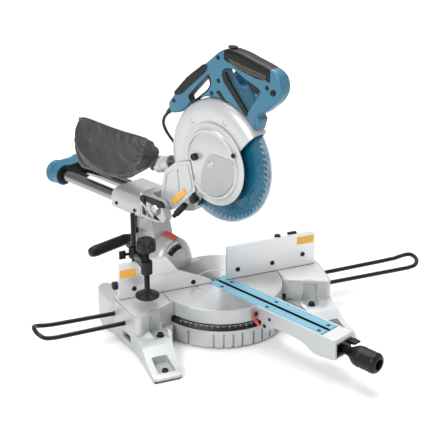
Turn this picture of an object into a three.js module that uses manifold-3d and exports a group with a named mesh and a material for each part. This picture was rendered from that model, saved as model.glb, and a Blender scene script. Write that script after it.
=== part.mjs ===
// Sliding compound mitre saw on its own cast base, head up and slid fully back,
// turntable set 22.5 degrees to the right. Millimetres, +Z up, +X to the right
// along the fence, -Y towards the operator.
//
// Two frames are used while drawing:
//   base frame  - origin on the ground under the turntable's pivot, x y z as above
//   arm frame   - the same origin turned by MITRE about Z: x across the blade
//                 (positive to the right), y = minus the distance d in front of
//                 the pivot, z up. Profiles in this frame are given as [d, z].
import * as THREE from 'three';
import { mergeVertices } from 'three/addons/utils/BufferGeometryUtils.js';
import Module from 'manifold-3d';
const wasm = await Module();
wasm.setup();

// ---------------------------------------------------------------- dimensions
const ORIGIN = [34.979, 61.166];           // base-frame point that becomes the part's origin
const MITRE = 22.5;                // degrees to the right at rest
const TABLE_Z = 90;                // top of the table
const TABLE_R = 139;               // turntable radius
const BLADE_R = 130;               // 260 mm blade
const BLADE_D = 5, BLADE_Z = 380;  // blade axis at rest
const HINGE_D = -150, HINGE_Z = 240; // chop hinge
const BEVEL_Z = 90;                // bevel axis height, level with the table top
const POLE_N = 33, POLE_Z = 216, POLE_R = 14;
const GAP = 0.3;
const ROUND = 0.6;                 // share of full roundness kept in turned pieces

// ---------------------------------------------------------------- helpers
const V = (x, y, z) => new THREE.Vector3(x, y, z);
function solid(geom) {
  const g = geom.index ? geom.clone() : geom.clone();
  g.deleteAttribute('normal'); g.deleteAttribute('uv');
  const m = mergeVertices(g, 1e-4);
  return new wasm.Manifold(new wasm.Mesh({
    numProp: 3,
    vertProperties: new Float32Array(m.attributes.position.array),
    triVerts: new Uint32Array(m.index.array),
  }));
}
function place(geom, matrix) { const g = geom.clone(); g.applyMatrix4(matrix); return g; }
const join = (...s) => s.reduce((a, b) => a.add(b));
const cut = (a, ...s) => s.reduce((x, b) => x.subtract(b), a);
const shape = (pts, holes = []) => {
  const s = new THREE.Shape(pts.map(p => new THREE.Vector2(p[0], p[1])));
  for (const h of holes) s.holes.push(new THREE.Path(h.map(p => new THREE.Vector2(p[0], p[1]))));
  return s;
};
// a flat outline in x, y pulled up from z0 to z1
function prism(pts, z0, z1) {
  const g = new THREE.ExtrudeGeometry(shape(pts), { depth: z1 - z0, bevelEnabled: false });
  return solid(place(g, new THREE.Matrix4().makeTranslation(0, 0, z0)));
}
// an outline in [d, z] pulled across the blade from n0 to n1 (arm frame)
function side(pts, n0, n1) {
  const g = new THREE.ExtrudeGeometry(shape(pts.map(p => [-p[0], p[1]])), { depth: n1 - n0, bevelEnabled: false });
  const m = new THREE.Matrix4().makeBasis(V(0, 1, 0), V(0, 0, 1), V(1, 0, 0));
  return solid(place(g, new THREE.Matrix4().makeTranslation(n0, 0, 0).multiply(m)));
}
// an outline in [n, z] pulled along the arm from d0 to d1 (d0 < d1)
function front(pts, d0, d1) {
  const g = new THREE.ExtrudeGeometry(shape(pts), { depth: d1 - d0, bevelEnabled: false });
  const m = new THREE.Matrix4().makeBasis(V(1, 0, 0), V(0, 0, 1), V(0, -1, 0));
  return solid(place(g, new THREE.Matrix4().makeTranslation(0, -d0, 0).multiply(m)));
}
function box(x0, x1, y0, y1, z0, z1) {
  const g = new THREE.BoxGeometry(x1 - x0, y1 - y0, z1 - z0);
  return solid(place(g, new THREE.Matrix4().makeTranslation((x0 + x1) / 2, (y0 + y1) / 2, (z0 + z1) / 2)));
}
// the matrix that lays +Y along a to b, starting at a
function along(a, b) {
  const dir = b.clone().sub(a).normalize();
  const q = new THREE.Quaternion().setFromUnitVectors(V(0, 1, 0), dir);
  return new THREE.Matrix4().compose(a, q, V(1, 1, 1));
}
// a turned solid: profile [[radius, height], ...] about the line a to b
function turned(a, b, profile, seg = 32) {
  const k = seg > 8 ? Math.max(8, 2 * Math.round(seg * ROUND / 2)) : seg;
  const g = new THREE.LatheGeometry(profile.map(p => new THREE.Vector2(p[0], p[1])), k);
  return solid(place(g, along(a, b)));
}
function rod(a, b, r, seg = 24, r2 = r) {
  const L = a.distanceTo(b);
  return turned(a, b, [[0, 0], [r, 0], [r2, L], [0, L]], seg);
}
// a ring about the line a to b, inner radius ri, outer ro
function ring(a, b, ri, ro, seg = 48) {
  const L = a.distanceTo(b);
  return turned(a, b, [[ri, 0], [ro, 0], [ro, L], [ri, L], [ri, 0]], seg);
}
// a round section swept along points (arm or base frame), catmull-rom
function sweep(points, r, steps, sides = 10, closed = false) {
  const curve = new THREE.CatmullRomCurve3(points, closed, 'centripetal');
  const c = [];
  for (let i = 0; i < sides; i++) c.push([r * Math.cos(2 * Math.PI * i / sides), r * Math.sin(2 * Math.PI * i / sides)]);
  const g = new THREE.ExtrudeGeometry(shape(c), { steps, bevelEnabled: false, extrudePath: curve });
  return solid(g);
}
const P = (d, n, z) => V(n, -d, z);            // arm-frame point from d, n, z
const circle = (cx, cy, r, a0, a1, k) => Array.from({ length: k + 1 }, (_, i) => {
  const t = (a0 + (a1 - a0) * i / k) * Math.PI / 180; return [cx + r * Math.cos(t), cy + r * Math.sin(t)]; });

const C = {
  cast: [0xc9cbcc, 0.45, 0.55], machined: [0xd9dcde, 0.25, 0.85], grey: [0xb9bcbf, 0.5, 0.4],
  black: [0x1c1d1f, 0.55, 0.0], charcoal: [0x35383b, 0.7, 0.0], blue: [0x4d8ba6, 0.4, 0.0],
  pale: [0x8fc0da, 0.5, 0.0], clear: [0x3d86a8, 0.2, 0.0], red: [0xd8513f, 0.4, 0.0],
  chrome: [0xe4e6e8, 0.12, 1.0], steel: [0xb5b8ba, 0.3, 0.9], white: [0xe9e8e6, 0.4, 0.2], cloth: [0x4a4a4c, 0.95, 0.0],
  cord: [0x17181a, 0.6, 0.0], yellow: [0xe6a93a, 0.5, 0.0],
};
const root = new THREE.Group();
const base = new THREE.Group();
const arm = new THREE.Group();
arm.rotation.z = MITRE * Math.PI / 180;
root.add(base, arm);
root.position.set(-ORIGIN[0], -ORIGIN[1], 0);
function add(name, s, colour, parent) {
  const m = s.getMesh();
  const g = new THREE.BufferGeometry();
  g.setAttribute('position', new THREE.BufferAttribute(new Float32Array(m.vertProperties), 3));
  g.setIndex(new THREE.BufferAttribute(new Uint32Array(m.triVerts), 1));
  g.computeVertexNormals();
  const [c, rough, metal] = C[colour];
  const mesh = new THREE.Mesh(g, new THREE.MeshStandardMaterial({ color: c, roughness: rough, metalness: metal }));
  mesh.name = name;
  parent.add(mesh);
}
const mirrorX = pts => pts.map(p => [-p[0], p[1]]).reverse();

// ================================================================ BASE
// side tables, lobes and feet, drawn for the left and mirrored for the right
const tableL = [[-248, 2], [-232, -90], [-222, -96], [-150, -58], [-128, -48], [-128, -2], [-150, 7], [-184, 16], [-200, 24], [-246, 24]];
const lobeL = [[-246, 10], [-224, 10], [-214, 40], [-220, 74], [-222, 112], [-230, 121], [-244, 121], [-256, 106], [-259, 76], [-256, 40]];
const legL = [[-234, -60], [-136, -60], [-150, -84], [-164, -126], [-172, -207], [-178, -213], [-230, -213], [-237, -207], [-232, -126]];
const sideWedge = [[-60, 62], [-100, 44], [-126, 36], [-160, 21], [-207, 13], [-213, 10], [-213, 4.3], [-60, 4.3]];
function halfBase(left) {
  const f = left ? (p => p) : mirrorX;
  let table = prism(f(tableL), 40, TABLE_Z);
  let low = prism(f(tableL), 4.3, 41);
  let lobe = prism(f(lobeL), 4.3, 75).add(prism(f([[-254, 44], [-230, 44], [-230, 52], [-248, 52], [-248, 112], [-254, 100]]), 0, 6)).add(prism(f([[-254, 80], [-224, 80], [-226, 112], [-242, 116], [-254, 102]]), 0, 5));
  // leg: plan outline cut by a side profile that falls towards the front
  const x0 = left ? -240 : 130, x1 = left ? -130 : 240;
  const g = new THREE.ExtrudeGeometry(shape(sideWedge), { depth: x1 - x0, bevelEnabled: false });
  const wedge = solid(place(g, new THREE.Matrix4().makeTranslation(x0, 0, 0).multiply(new THREE.Matrix4().makeBasis(V(0, 1, 0), V(0, 0, 1), V(1, 0, 0)))));
  let leg = prism(f(legL), 4.3, 70).intersect(wedge).subtract(rod(V(0, 0, 41.2), V(0, 0, 80), 183, 60)); // room for the arm's swing
  let s = join(table, low, lobe, leg);
  const k = left ? -1 : 1;
  // round pocket above the bolt ledge and its bolt hole
  s = cut(s, rod(V(k * 181, -88, 41), V(k * 181, -88, 84), 20, 28), box(Math.min(k * 165, k * 197), Math.max(k * 165, k * 197), -130, -88, 41, 84),
    rod(V(k * 181, -92, 0), V(k * 181, -92, 60), 5, 16));
  // recess with a screw hole near the end of the foot
  const rx = k * 203;
  s = cut(s, box(rx - 18, rx + 18, -200, -150, 9, 30), rod(V(rx, -184, 0), V(rx, -184, 20), 4.5, 14));
  // hollow underside
  s = cut(s, prism(f([[-240, -2], [-226, -84], [-206, -84], [-206, -60], [-158, -60], [-150, -50], [-150, 6], [-200, 17], [-240, 18]]), -1, 38.5));
    // two bores for the wire holder, front and rear
  for (const y of [-38, 12]) s = cut(s, rod(V(k * 140, y, 54), V(k * 300, y, 54), 5.4, 16));
  return s;
}
// ring in front of and beside the turntable, with vertical notches
let baseRing = ring(V(0, 0, 4.3), V(0, 0, 44), 126, 147.5, 72);
baseRing = cut(baseRing, box(-160, 160, 20, 160, 0, 60));
for (const a of [-106, -98, -90, -78, -70, -112, -58]) {
  const t = a * Math.PI / 180;
  baseRing = cut(baseRing, rod(V(147.5 * Math.cos(t), 147.5 * Math.sin(t), 3), V(147.5 * Math.cos(t), 147.5 * Math.sin(t), 38), 2.2, 8));
}
const spider = join(box(-132, 132, -22, 18, 8, 28), box(-16, 16, -130, 0, 8, 26), rod(V(0, 0, 8), V(0, 0, 54), 32, 32));
let baseCasting = join(halfBase(true), halfBase(false), baseRing, spider);
baseCasting = cut(baseCasting, rod(V(0, 0, 44.2), V(0, 0, 120), 140.5, 72), cut(ring(V(0, 0, 44.2), V(0, 0, 56), 120, 148.4, 72), box(-160, 160, -37.7, 170, 30, 70)));
baseCasting = join(baseCasting, rod(V(0, 0, 40), V(0, 0, 82), 7.6, 24), box(150, 240, 9.6, 22, 86, 128), box(141, 152, 9.6, 13, 86, 128));
add('base_casting', baseCasting, 'cast', base);
for (const [nm, k] of [['left', -1], ['right', 1]]) {
  add(`front_foot_pad_${nm}`, box(Math.min(k * 178, k * 234), Math.max(k * 178, k * 234), -211, -202.5, 0, 4), 'black', base);
}
// sloping mitre scale on the ring, open at the back
let scale = turned(V(0, 0, 0), V(0, 0, 1), [[129, 44.3], [148, 44.3], [148, 46], [139.6, 55], [129, 55]].concat([[129, 44.3]]), 72);
scale = cut(scale, box(-160, 160, -38, 170, 40, 60));
add('mitre_scale', scale, 'black', base);

// fences: low left guide, tall sliding left sub-fence, right guide, tall right face
const yz = (pts, y0, y1) => { // outline in [x, z], thick in y
  const g = new THREE.ExtrudeGeometry(shape(pts), { depth: y1 - y0, bevelEnabled: false });
  return solid(place(g, new THREE.Matrix4().makeTranslation(0, y1, 0).multiply(new THREE.Matrix4().makeBasis(V(1, 0, 0), V(0, 0, 1), V(0, -1, 0)))));
};
add('fence_left', join(yz([[-238, 90.3], [-18, 90.3], [-22, 96], [-38, 105.5], [-99.5, 134.6], [-238, 134.6]], 0, 9), box(-238, -150, 8, 20, 90.3, 96), box(-160, -152, 8, 14, 90.3, 130)), 'machined', base);
add('sub_fence_left', join(yz([[-238, 135], [-100.5, 135], [-126, 170.5], [-131, 173], [-233, 173], [-238, 169]], 0, 9), yz([[-225, 104], [-165, 104], [-165, 150], [-225, 150]], 9.3, 14).add(box(-225, -165, 8.5, 10, 136, 150))), 'machined', base);
add('sub_fence_right', yz([[16, 90.5], [237, 90.5], [237, 166], [232, 170.5], [20, 170.5], [16, 167]], 0, 9), 'machined', base);
add('sub_fence_knob_left', join(rod(V(-214, 14.3, 120), V(-214, 26, 120), 4, 14), rod(V(-214, 20, 120), V(-214, 34, 120), 11, 20)), 'black', base);
add('sub_fence_knob_right', join(rod(V(205, 22.3, 112), V(205, 30, 112), 4, 14), rod(V(205, 27, 112), V(205, 40, 112), 12, 20)), 'black', base);

// wire work holders: two legs into each side of the base, a bar across the end
const holder = (k, tip) => {
  const x0 = k * 158, y0 = -38, y1 = 12, r = 4.8, X = k * tip, b = 14 * k;
  const pts = [V(x0, y0, 54), V(k * 240, y0, 54), V(X - 4 * b, y0 - 3, 54), V(X - 2 * b, y0 - 4, 55), V(X - 0.8 * b, y0 - 3, 58), V(X, y0 + 8, 64),
    V(X + 0.2 * b, (y0 + y1) / 2, 66), V(X, y1 - 8, 64), V(X - 0.8 * b, y1 + 3, 58), V(X - 2 * b, y1 + 4, 55), V(X - 4 * b, y1 + 3, 54), V(k * 240, y1, 54), V(x0, y1, 54)];
  return sweep(pts, r, 30, 8);
};
add('work_holder_left', holder(-1, 428), 'black', base);
add('work_holder_right', holder(1, 498), 'black', base);

// hold-down vise: post in the left table, arm, thumb screw, feed screw, knob and pad
const VX = -192, VY = 31, SX = -189, SY = -44;
add('vise_rod', cut(join(rod(V(VX, VY, 60), V(VX, VY, 276), 5.5, 18), rod(V(VX, VY, 90.3), V(VX, VY, 100), 10, 20)), rod(V(VX, VY, 50), V(VX, VY, 90), 20, 12)), 'black', base);
add('vise_arm', cut(join(rod(V(VX, VY, 172), V(VX, VY, 198), 11.5, 24), box(SX - 9, SX + 7, SY, VY, 175, 194), rod(V(SX, SY, 166), V(SX, SY, 196), 12.5, 24)),
  rod(V(VX, VY, 150), V(VX, VY, 220), 5.85, 18), rod(V(SX, SY, 150), V(SX, SY, 220), 6.35, 18)).add(rod(V(VX - 20, VY, 182), V(VX - 9, VY, 182), 3.4, 12)).add(box(VX - 34, VX - 19, VY - 2.5, VY + 2.5, 173, 191)), 'black', base);
add('vise_feed_screw', join(rod(V(SX, SY, 122.4), V(SX, SY, 216), 6, 20), rod(V(SX, SY, 214.3), V(SX, SY, 247), 22, 32, 21)), 'black', base);
add('vise_pad', turned(V(SX, SY, 112), V(SX, SY, 130), [[0, 0], [26, 0], [26, 4.5], [12, 7.5], [10, 10], [0, 10]], 32), 'black', base);

// ================================================================ TURNTABLE
let disc = turned(V(0, 0, 0), V(0, 0, 1), [[0, 66], [118, 66], [118, 56], [TABLE_R - 1, 56], [TABLE_R, 57], [TABLE_R, 88.8], [TABLE_R - 1.2, 90], [0, 90]], 72);
const armSide = [[120, 90], [352, 90], [356, 86], [356, 48], [345, 44.5], [318, 41], [300, 41], [288, 45], [276, 51.5], [262, 56], [238, 58], [215, 57], [176, 57], [172, 42], [152, 42], [152, 60], [120, 60]];
let tt = join(disc, side(armSide, -30, 30));
// groove for the kerf boards, blade slot below it and the hollow front of the arm
tt = cut(tt, side([[-14, 84], [317, 84], [317, 95], [-14, 95]], -26.4, 26.4));
tt = cut(tt, side([[-8, 70], [308, 70], [308, 90], [-8, 90]], -11, 11));
tt = cut(tt, side([[300, 44], [316, 44], [316, 46], [357, 51], [357, 82], [300, 80]], -25, 31));
tt = cut(tt, rod(V(0, 0, 50), V(0, 0, 84), 8, 24));
// bevel hub behind the table: a turned boss about the bevel axis
const hub = turned(P(-112, 0, BEVEL_Z), P(-187, 0, BEVEL_Z), [[0, 0], [12, 1], [22, 5.5], [36, 18], [49, 34], [53, 41], [55, 50], [55, 75], [0, 75]], 48);
tt = join(tt, hub);
tt = cut(tt, rod(P(-130, 0, BEVEL_Z), P(-190, 0, BEVEL_Z), 13, 24));
// pad for the cord gland, under the hub
tt = join(tt, front([[-14, 8], [14, 8], [18, 40], [-18, 40]], -187, -162));
add('turntable', tt, 'cast', arm);
const kerf = (a, b) => side([[-12, 84.4], [-12, 90], [314, 90], [314, 84.4]], a, b);
add('kerf_board_left', kerf(-26, -4.6), 'pale', arm);
add('kerf_board_right', kerf(4.6, 26), 'pale', arm);
add('mitre_pointer', side([[140, 58], [152, 50], [153, 51], [141.5, 60], [141.5, 82], [139.6, 82], [139.6, 58]], -40, -32.4), 'red', arm);
add('bevel_scale', turned(P(-105, 0, BEVEL_Z), P(-187, 0, BEVEL_Z), [[37.4, 25.6], [38.8, 25.6], [50.8, 40.4], [49.4, 40.4], [37.4, 25.6]], 80).intersect(front([[0, 90], [-62, 150], [8, 150]], -190, -100)), 'black', arm);
add('front_insert', side([[332, 51], [352, 53.5], [352, 80], [332, 78]], -24.5, 27), 'black', arm);
add('mitre_grip', turned(P(352.4, 0, 62), P(450, 0, 62), [[0, 0], [9, 0], [9, 16], [13, 24], [20, 34], [22.5, 46], [22.5, 82], [19, 89], [12, 91], [12, 78], [0, 78]], 32), 'black', arm);
add('detent_lever', side([[352.6, 73], [364, 73.5], [377, 76.5], [377, 80], [364, 80], [352.6, 79.5]], 8, 25), 'black', arm);
add('bevel_pivot_shaft', turned(P(-140, 0, BEVEL_Z), P(-258, 0, BEVEL_Z), [[0, 0], [12.6, 0], [12.6, 118], [0, 118]], 24), 'steel', arm);

// ================================================================ COLUMN (tilts)
let column = join(
  turned(P(-187.4, 0, BEVEL_Z), P(-206, 0, BEVEL_Z), [[0, 0], [55, 0], [56, 1], [56, 14], [50, 18.6], [0, 18.6]], 48),
  side([[-187.8, 100], [-187.8, 146], [-200, 190], [-204, 215], [-257, 215], [-257, 112], [-244, 78], [-205, 62]], -28, 28),
  front([[-50, 196], [50, 196], [57, 204], [57, 226], [52, 238], [40, 245], [-40, 245], [-52, 238], [-57, 226], [-57, 204]], -305, -203),
);
for (const s of [-1, 1]) column = cut(column, rod(P(-320, s * POLE_N, POLE_Z), P(-190, s * POLE_N, POLE_Z), POLE_R + 0.35, 28));
column = cut(column, rod(P(-180, 0, BEVEL_Z), P(-262, 0, BEVEL_Z), 13.4, 24));
add('bevel_column', column, 'cast', arm);
add('bevel_pointer', side([[-187.4, 147], [-187.4, 151.5], [-165, 151], [-147, 148.5], [-147, 147], [-165, 147.5]], -4, 11), 'red', arm);
add('bevel_lever', join(rod(P(-258.4, 0, 124), P(-276, 0, 124), 15, 24), rod(P(-267, -8, 124), P(-267, -40, 124), 8.5, 20), turned(P(-267, -36, 124), P(-267, -158, 124), [[0, 0], [9, 0], [12.5, 12], [13.5, 60], [12, 116], [10, 122], [0, 122]], 20)), 'black', arm);

// ================================================================ CARRIAGE (slides)
for (const [nm, s] of [['left', -1], ['right', 1]])
  add(`slide_pole_${nm}`, rod(P(-540, s * POLE_N, POLE_Z), P(-183, s * POLE_N, POLE_Z), POLE_R, 28), 'chrome', arm);
const dumb = (r, h) => circle(-POLE_N, POLE_Z, r, 60, 300, 14).concat(circle(POLE_N, POLE_Z, r, -120, 120, 14));
let capInner = cut(front(dumb(27), -540, -509), rod(P(-541, -POLE_N, POLE_Z), P(-500, -POLE_N, POLE_Z), POLE_R + GAP, 28), rod(P(-541, POLE_N, POLE_Z), P(-500, POLE_N, POLE_Z), POLE_R + GAP, 28));
add('pole_end_cap', capInner, 'black', arm);
add('pole_end_cover', front(dumb(29), -556, -540.4), 'blue', arm);
const carSide = [[-201.5, 206], [-150, 206], [-122, 214], [-116, 226], [-122, 238], [-128, 250], [-136, 258], [-150, 260.5], [-164, 258], [-176, 262], [-201.5, 266]];
let carriage = side(carSide, -57, 57);
// fork: the head's hub turns between its two cheeks
carriage = cut(carriage, side([[-181, 196], [-100, 196], [-100, 300], [-181, 300]], -37.5, 37.5));
// lattice of open pockets in both cheeks
for (const s of [-1, 1]) {
  const n0 = s < 0 ? -58 : 52, n1 = s < 0 ? -52 : 58;
  for (const t of [[[-196, 212], [-181, 212], [-181, 228], [-196, 236]], [[-177, 212], [-163, 212], [-177, 227]], [[-196, 242], [-181, 234], [-181, 258], [-196, 260]], [[-159, 211], [-133, 213], [-150, 224], [-159, 222]]]) carriage = cut(carriage, side(t, n0, n1));
}
for (const s of [-1, 1]) carriage = cut(carriage, rod(P(-206, s * POLE_N, POLE_Z), P(-182.6, s * POLE_N, POLE_Z), POLE_R + GAP, 28));
carriage = cut(carriage, rod(P(HINGE_D, -60, HINGE_Z), P(HINGE_D, 60, HINGE_Z), 8.3, 24));
add('slide_carriage', carriage, 'cast', arm);
add('hinge_pin', rod(P(HINGE_D, -59, HINGE_Z), P(HINGE_D, 59, HINGE_Z), 8, 24), 'steel', arm);

// ================================================================ HEAD (chops)
const CH = [BLADE_D, BLADE_Z];
// barrel on the hinge and the arm that carries the guard
let head = join(
  rod(P(HINGE_D, -37, HINGE_Z), P(HINGE_D, 37, HINGE_Z), 17, 32),
  side([[-158, 254], [-134, 231], [-108, 249], [-62, 290], [-44, 306], [-60, 372], [-106, 356], [-140, 330]], -34.3, -28.3),
  side([[-158, 254], [-134, 231], [-112, 246], [-118, 300], [-142, 330], [-150, 300]], -34, 34),
  side([[-158, 254], [-134, 231], [-108, 249], [-70, 284], [-60, 330], [-106, 356], [-140, 330]], 20, 34),
);
head = cut(head, rod(P(HINGE_D, -60, HINGE_Z), P(HINGE_D, 60, HINGE_Z), 8.3, 24));
head = cut(head, rod(P(CH[0], -28, CH[1]), P(CH[0], 21, CH[1]), 140.3, 64));
head = cut(head, rod(P(-120, -12, 349.8), P(-196, -12, 318), 17.9, 28));
head = join(head, rod(P(-128, 27, 326), P(-139, 27, 341), 7, 16));
add('head_arm', head, 'white', arm);
// upper guard: hollow half drum with a rounded left face, open on the cut side
const gLine = [Math.sin(50 * Math.PI / 180), -Math.cos(50 * Math.PI / 180)];   // points below this line are open
const gDir = [-gLine[1], gLine[0]];
const open = off => { // half plane beyond the guard's lower edge, as a [d, z] outline
  const q = [CH[0] + gLine[0] * off, CH[1] + gLine[1] * off];
  return [[q[0] - gDir[0] * 300, q[1] - gDir[1] * 300], [q[0] - gDir[0] * 300 + gLine[0] * 400, q[1] - gDir[1] * 300 + gLine[1] * 400], [q[0] + gDir[0] * 300 + gLine[0] * 400, q[1] + gDir[1] * 300 + gLine[1] * 400], [q[0] + gDir[0] * 300, q[1] + gDir[1] * 300]];
};
const ax = (n) => P(CH[0], n, CH[1]);
let guard = cut(turned(ax(-28), ax(30), [[0, 0], [112, 0], [125, 4], [135, 11], [139, 19], [139, 45], [0, 45]], 80),
  turned(ax(-25.2), ax(30), [[0, 0], [111, 0], [123, 3.8], [132, 9.6], [136.4, 13.6], [136.4, 39], [0, 39]], 80));
guard = cut(guard, side(open(28), -60, 60), rod(ax(-60), ax(60), 42, 32));
guard = cut(guard, rod(P(-40, 10, 400), P(-40, 20, 400), 0.1, 4));
add('upper_guard', guard, 'white', arm);
// round cover in front of the arbor with its raised rim
add('centre_cover', cut(join(turned(ax(-35), ax(-20), [[0, 0], [70, 0], [77, 3], [91, 3.4], [91, 6.6], [0, 6.6]], 56)), side([[-170, 240], [-134, 222], [-100, 240], [-57, 287], [-39, 303], [-56, 377], [-106, 362], [-160, 345]], -40, -20)), 'white', arm);
add('cover_bolt', turned(ax(-39), ax(-35.3), [[0, 0], [7, 0], [8, 1.2], [8, 3.6], [0, 3.6]], 20), 'steel', arm);
add('cover_thumb_bolt', rod(P(-40, -46, 388), P(-40, -35.3, 388), 8, 20), 'black', arm);
// gear case on the right of the guard, motor across it
add('gear_case', join(rod(ax(17.4), ax(48), 40, 36), side([[-10, 400], [-26, 480], [-16, 540], [50, 548], [66, 500], [50, 380]], 17.4, 44)), 'blue', arm);
add('motor_housing', turned(P(28, 44.4, 538), P(28, 112, 538), [[0, 0], [40, 0], [45, 7], [46, 46], [43, 60], [36, 67.6], [0, 67.6]], 36), 'blue', arm);
// handle housing: the whole outline, with its two openings
const hOut = [[-151, 478], [-142, 456], [-113, 464], [-98, 474], [-86, 487.5], [-62, 507.5], [-30, 518.4], [5, 521.5], [40, 517.8], [72, 504.4], [84, 498.2], [98, 488.6], [108, 476], [114, 476], [121, 500], [114, 507.5], [135, 520], [155, 537], [168, 549], [177.6, 567], [178.6, 582], [173, 599], [159.5, 608], [132, 616], [98, 623], [70, 629.5], [41, 632], [24, 630], [5, 621.5], [-39, 585], [-86, 549], [-124, 510]];

let housing = side(hOut, -14, 16.8);
const gripBorder = [[24, 608], [65, 595.5], [115, 586], [136, 587], [148, 585.5]];
const gripCut = g => [[20, 660], [22, 608 + g], ...gripBorder.map(p => [p[0], p[1] + g]), [149, 660]];
const dHole = [[14, 583], [24, 566], [60, 532], [86, 504.5], [113, 542], [125, 561], [120, 567], [78, 581], [49, 594], [27, 592]];
housing = cut(housing, side(dHole, -30, 30));
housing = cut(housing, side([[-26, 564], [-17, 549], [-26, 535], [-75, 496], [-83, 507]], -30, 30));
housing = cut(housing, rod(ax(-40), ax(60), 139.6, 96));
housing = cut(housing, side(gripCut(0), -30, 30));
// pocket over the trigger and the bore of the lock-off button
housing = cut(housing, side([[70, 578], [74, 591], [124, 581], [128, 562], [116, 556]], -9, 11.5));
housing = cut(housing, rod(P(158, -20, 566), P(158, -4, 566), 6.3, 16));
housing = cut(housing, rod(P(34, 1, 622), P(34, 1, 640), 4.3, 12));
// the carrying handle round its opening is thinner than the main body
housing = cut(housing, side([[-160, 640], [-20, 640], [-11, 588], [-12, 545], [-60, 496], [-84, 486], [-116, 478], [-160, 506]], 1, 40));
add('handle_housing', housing, 'blue', arm);
add('main_grip', cut(side(hOut, -15.5, 18.3).intersect(side(gripCut(GAP).map(p => p[0] === 149 ? [148.7, p[1]] : p[0] === 20 ? [22.6, p[1]] : p), -30, 30)), rod(P(34, 1, 600), P(34, 1, 660), 4.3, 12)), 'charcoal', arm);
add('carry_grip', side([[-37.5, 587.2], [-30, 589], [-26, 583], [-33, 570.5], [-106, 508], [-122, 503], [-128, 505], [-124.6, 511.2], [-86.4, 550]], -16, 2.8).subtract(side(hOut, -14.3, 1.3)), 'charcoal', arm);
add('trigger', side([[80, 587], [117, 576.5], [117.5, 560], [107, 550], [94, 556], [82, 570]], -8.4, 10.9), 'black', arm);
add('lock_off_button', rod(P(158, -18.5, 566), P(158, -9.5, 566), 6, 20), 'black', arm);
add('top_wing_screw', join(rod(P(34, 1, 612), P(34, 1, 634.5), 4, 14), box(-3, 5, -44, -24, 633.5, 636)), 'black', arm);

// blade, flanges and arbor
add('saw_blade', ring(ax(-1.1), ax(1.1), 15.2, BLADE_R, 80), 'steel', arm);
add('flange_outer', ring(ax(-5), ax(-1.4), 5.4, 25, 32), 'steel', arm);
add('arbor_shaft', join(rod(ax(1.4), ax(6), 25, 32), rod(ax(-1.2), ax(17.1), 9, 24), rod(ax(-5), ax(0), 5.1, 20)), 'steel', arm);
add('arbor_bolt', rod(ax(-10), ax(-5.3), 9, 6), 'steel', arm);
// lower guard: a rim with two cheeks, turning about the blade's axis
const sector = (a0, a1, r) => [[BLADE_D, BLADE_Z], ...circle(BLADE_D, BLADE_Z, r, a0, a1, 24)];
let low = side(sector(-118, 62, 170), -11, 11).intersect(rod(ax(-11), ax(11), 134.5, 80));
low = cut(low, rod(ax(-8.5), ax(8.5), 131.6, 80), rod(ax(-20), ax(-5), 62, 48));
low = cut(low, rod(ax(5), ax(20), 50, 40));
low = join(low, ring(ax(8.5), ax(11), 30, 54, 40));
add('lower_guard', low, 'clear', arm);
add('stop_damper', turned(P(-104, -44, 231), P(-66, -44, 270), [[0, 0], [5, 0], [5, 12], [7.5, 14], [7.5, 54], [0, 54]], 18), 'black', arm);
add('dust_nozzle', turned(P(-141, -12, 341), P(-186, -12, 322.2), [[14, 0], [17.4, 0], [17.4, 48.6], [14, 48.6], [14, 0]], 28), 'black', arm);
add('dust_bag', side([[-459, 374], [-463, 275], [-446, 247], [-366, 255], [-285, 266], [-222, 306], [-204, 322], [-193, 341], [-197, 356], [-215, 381], [-332, 377], [-424, 379]], -56, 18), 'cloth', arm);

// held lead from the handle's strain relief to the boss on the head arm
add('strain_relief', turned(P(-149.3, 2, 464.6), P(-168, 2, 448.1), [[0, 0], [8, 0], [8, 4], [4.6, 26], [0, 26]], 16), 'black', arm);
add('head_lead', sweep([P(-169.2, 2, 447.0), P(-182, 4, 432), P(-189, 9, 413), P(-184, 16, 392), P(-168, 22, 372), P(-153, 25.5, 357), P(-139.6, 27, 341.9)], 3.5, 14, 8), 'cord', arm);

// free lead: gland under the hub, a short run along the floor, a coil and the plug
add('cord_gland', turned(P(-187.3, 0, 17), P(-210, 0, 17), [[0, 0], [8, 0], [8, 4], [4.4, 22], [0, 22]], 16), 'black', arm);
const COIL = [-356, 120];
add('cord_run', sweep([P(-209.6, 0, 17), P(-224, 0, 16.2), P(-240, 2, 11.5), P(-254, 5, 6.5), P(-266, 15, 4), P(-275, 31, 3.6), P(-285, 58, 3.6), P(-294, 84, 3.6), P(-302, 106, 3.6)], 3.5, 14, 8), 'cord', arm);
add('cord_coil', turned(P(COIL[0], COIL[1], 0.1), P(COIL[0], COIL[1], 30), [[28, 0], [50, 0], [50, 26.4], [28, 26.4], [28, 0]], 40), 'cord', arm);
add('mains_plug', join(turned(P(-330, 76, 45), P(-330, 140, 45), [[0, 0], [5, 0], [7, 6], [15, 12], [18, 17], [18, 38], [0, 38]], 24), rod(P(-339.5, 112, 45), P(-339.5, 133, 45), 2.4, 10), rod(P(-320.5, 112, 45), P(-320.5, 133, 45), 2.4, 10)), 'black', arm);

export default root;
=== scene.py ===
# Looks of a sliding compound mitre saw on its own cast base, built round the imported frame.
import bpy, bmesh, math
from mathutils import Vector, Matrix, noise


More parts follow.
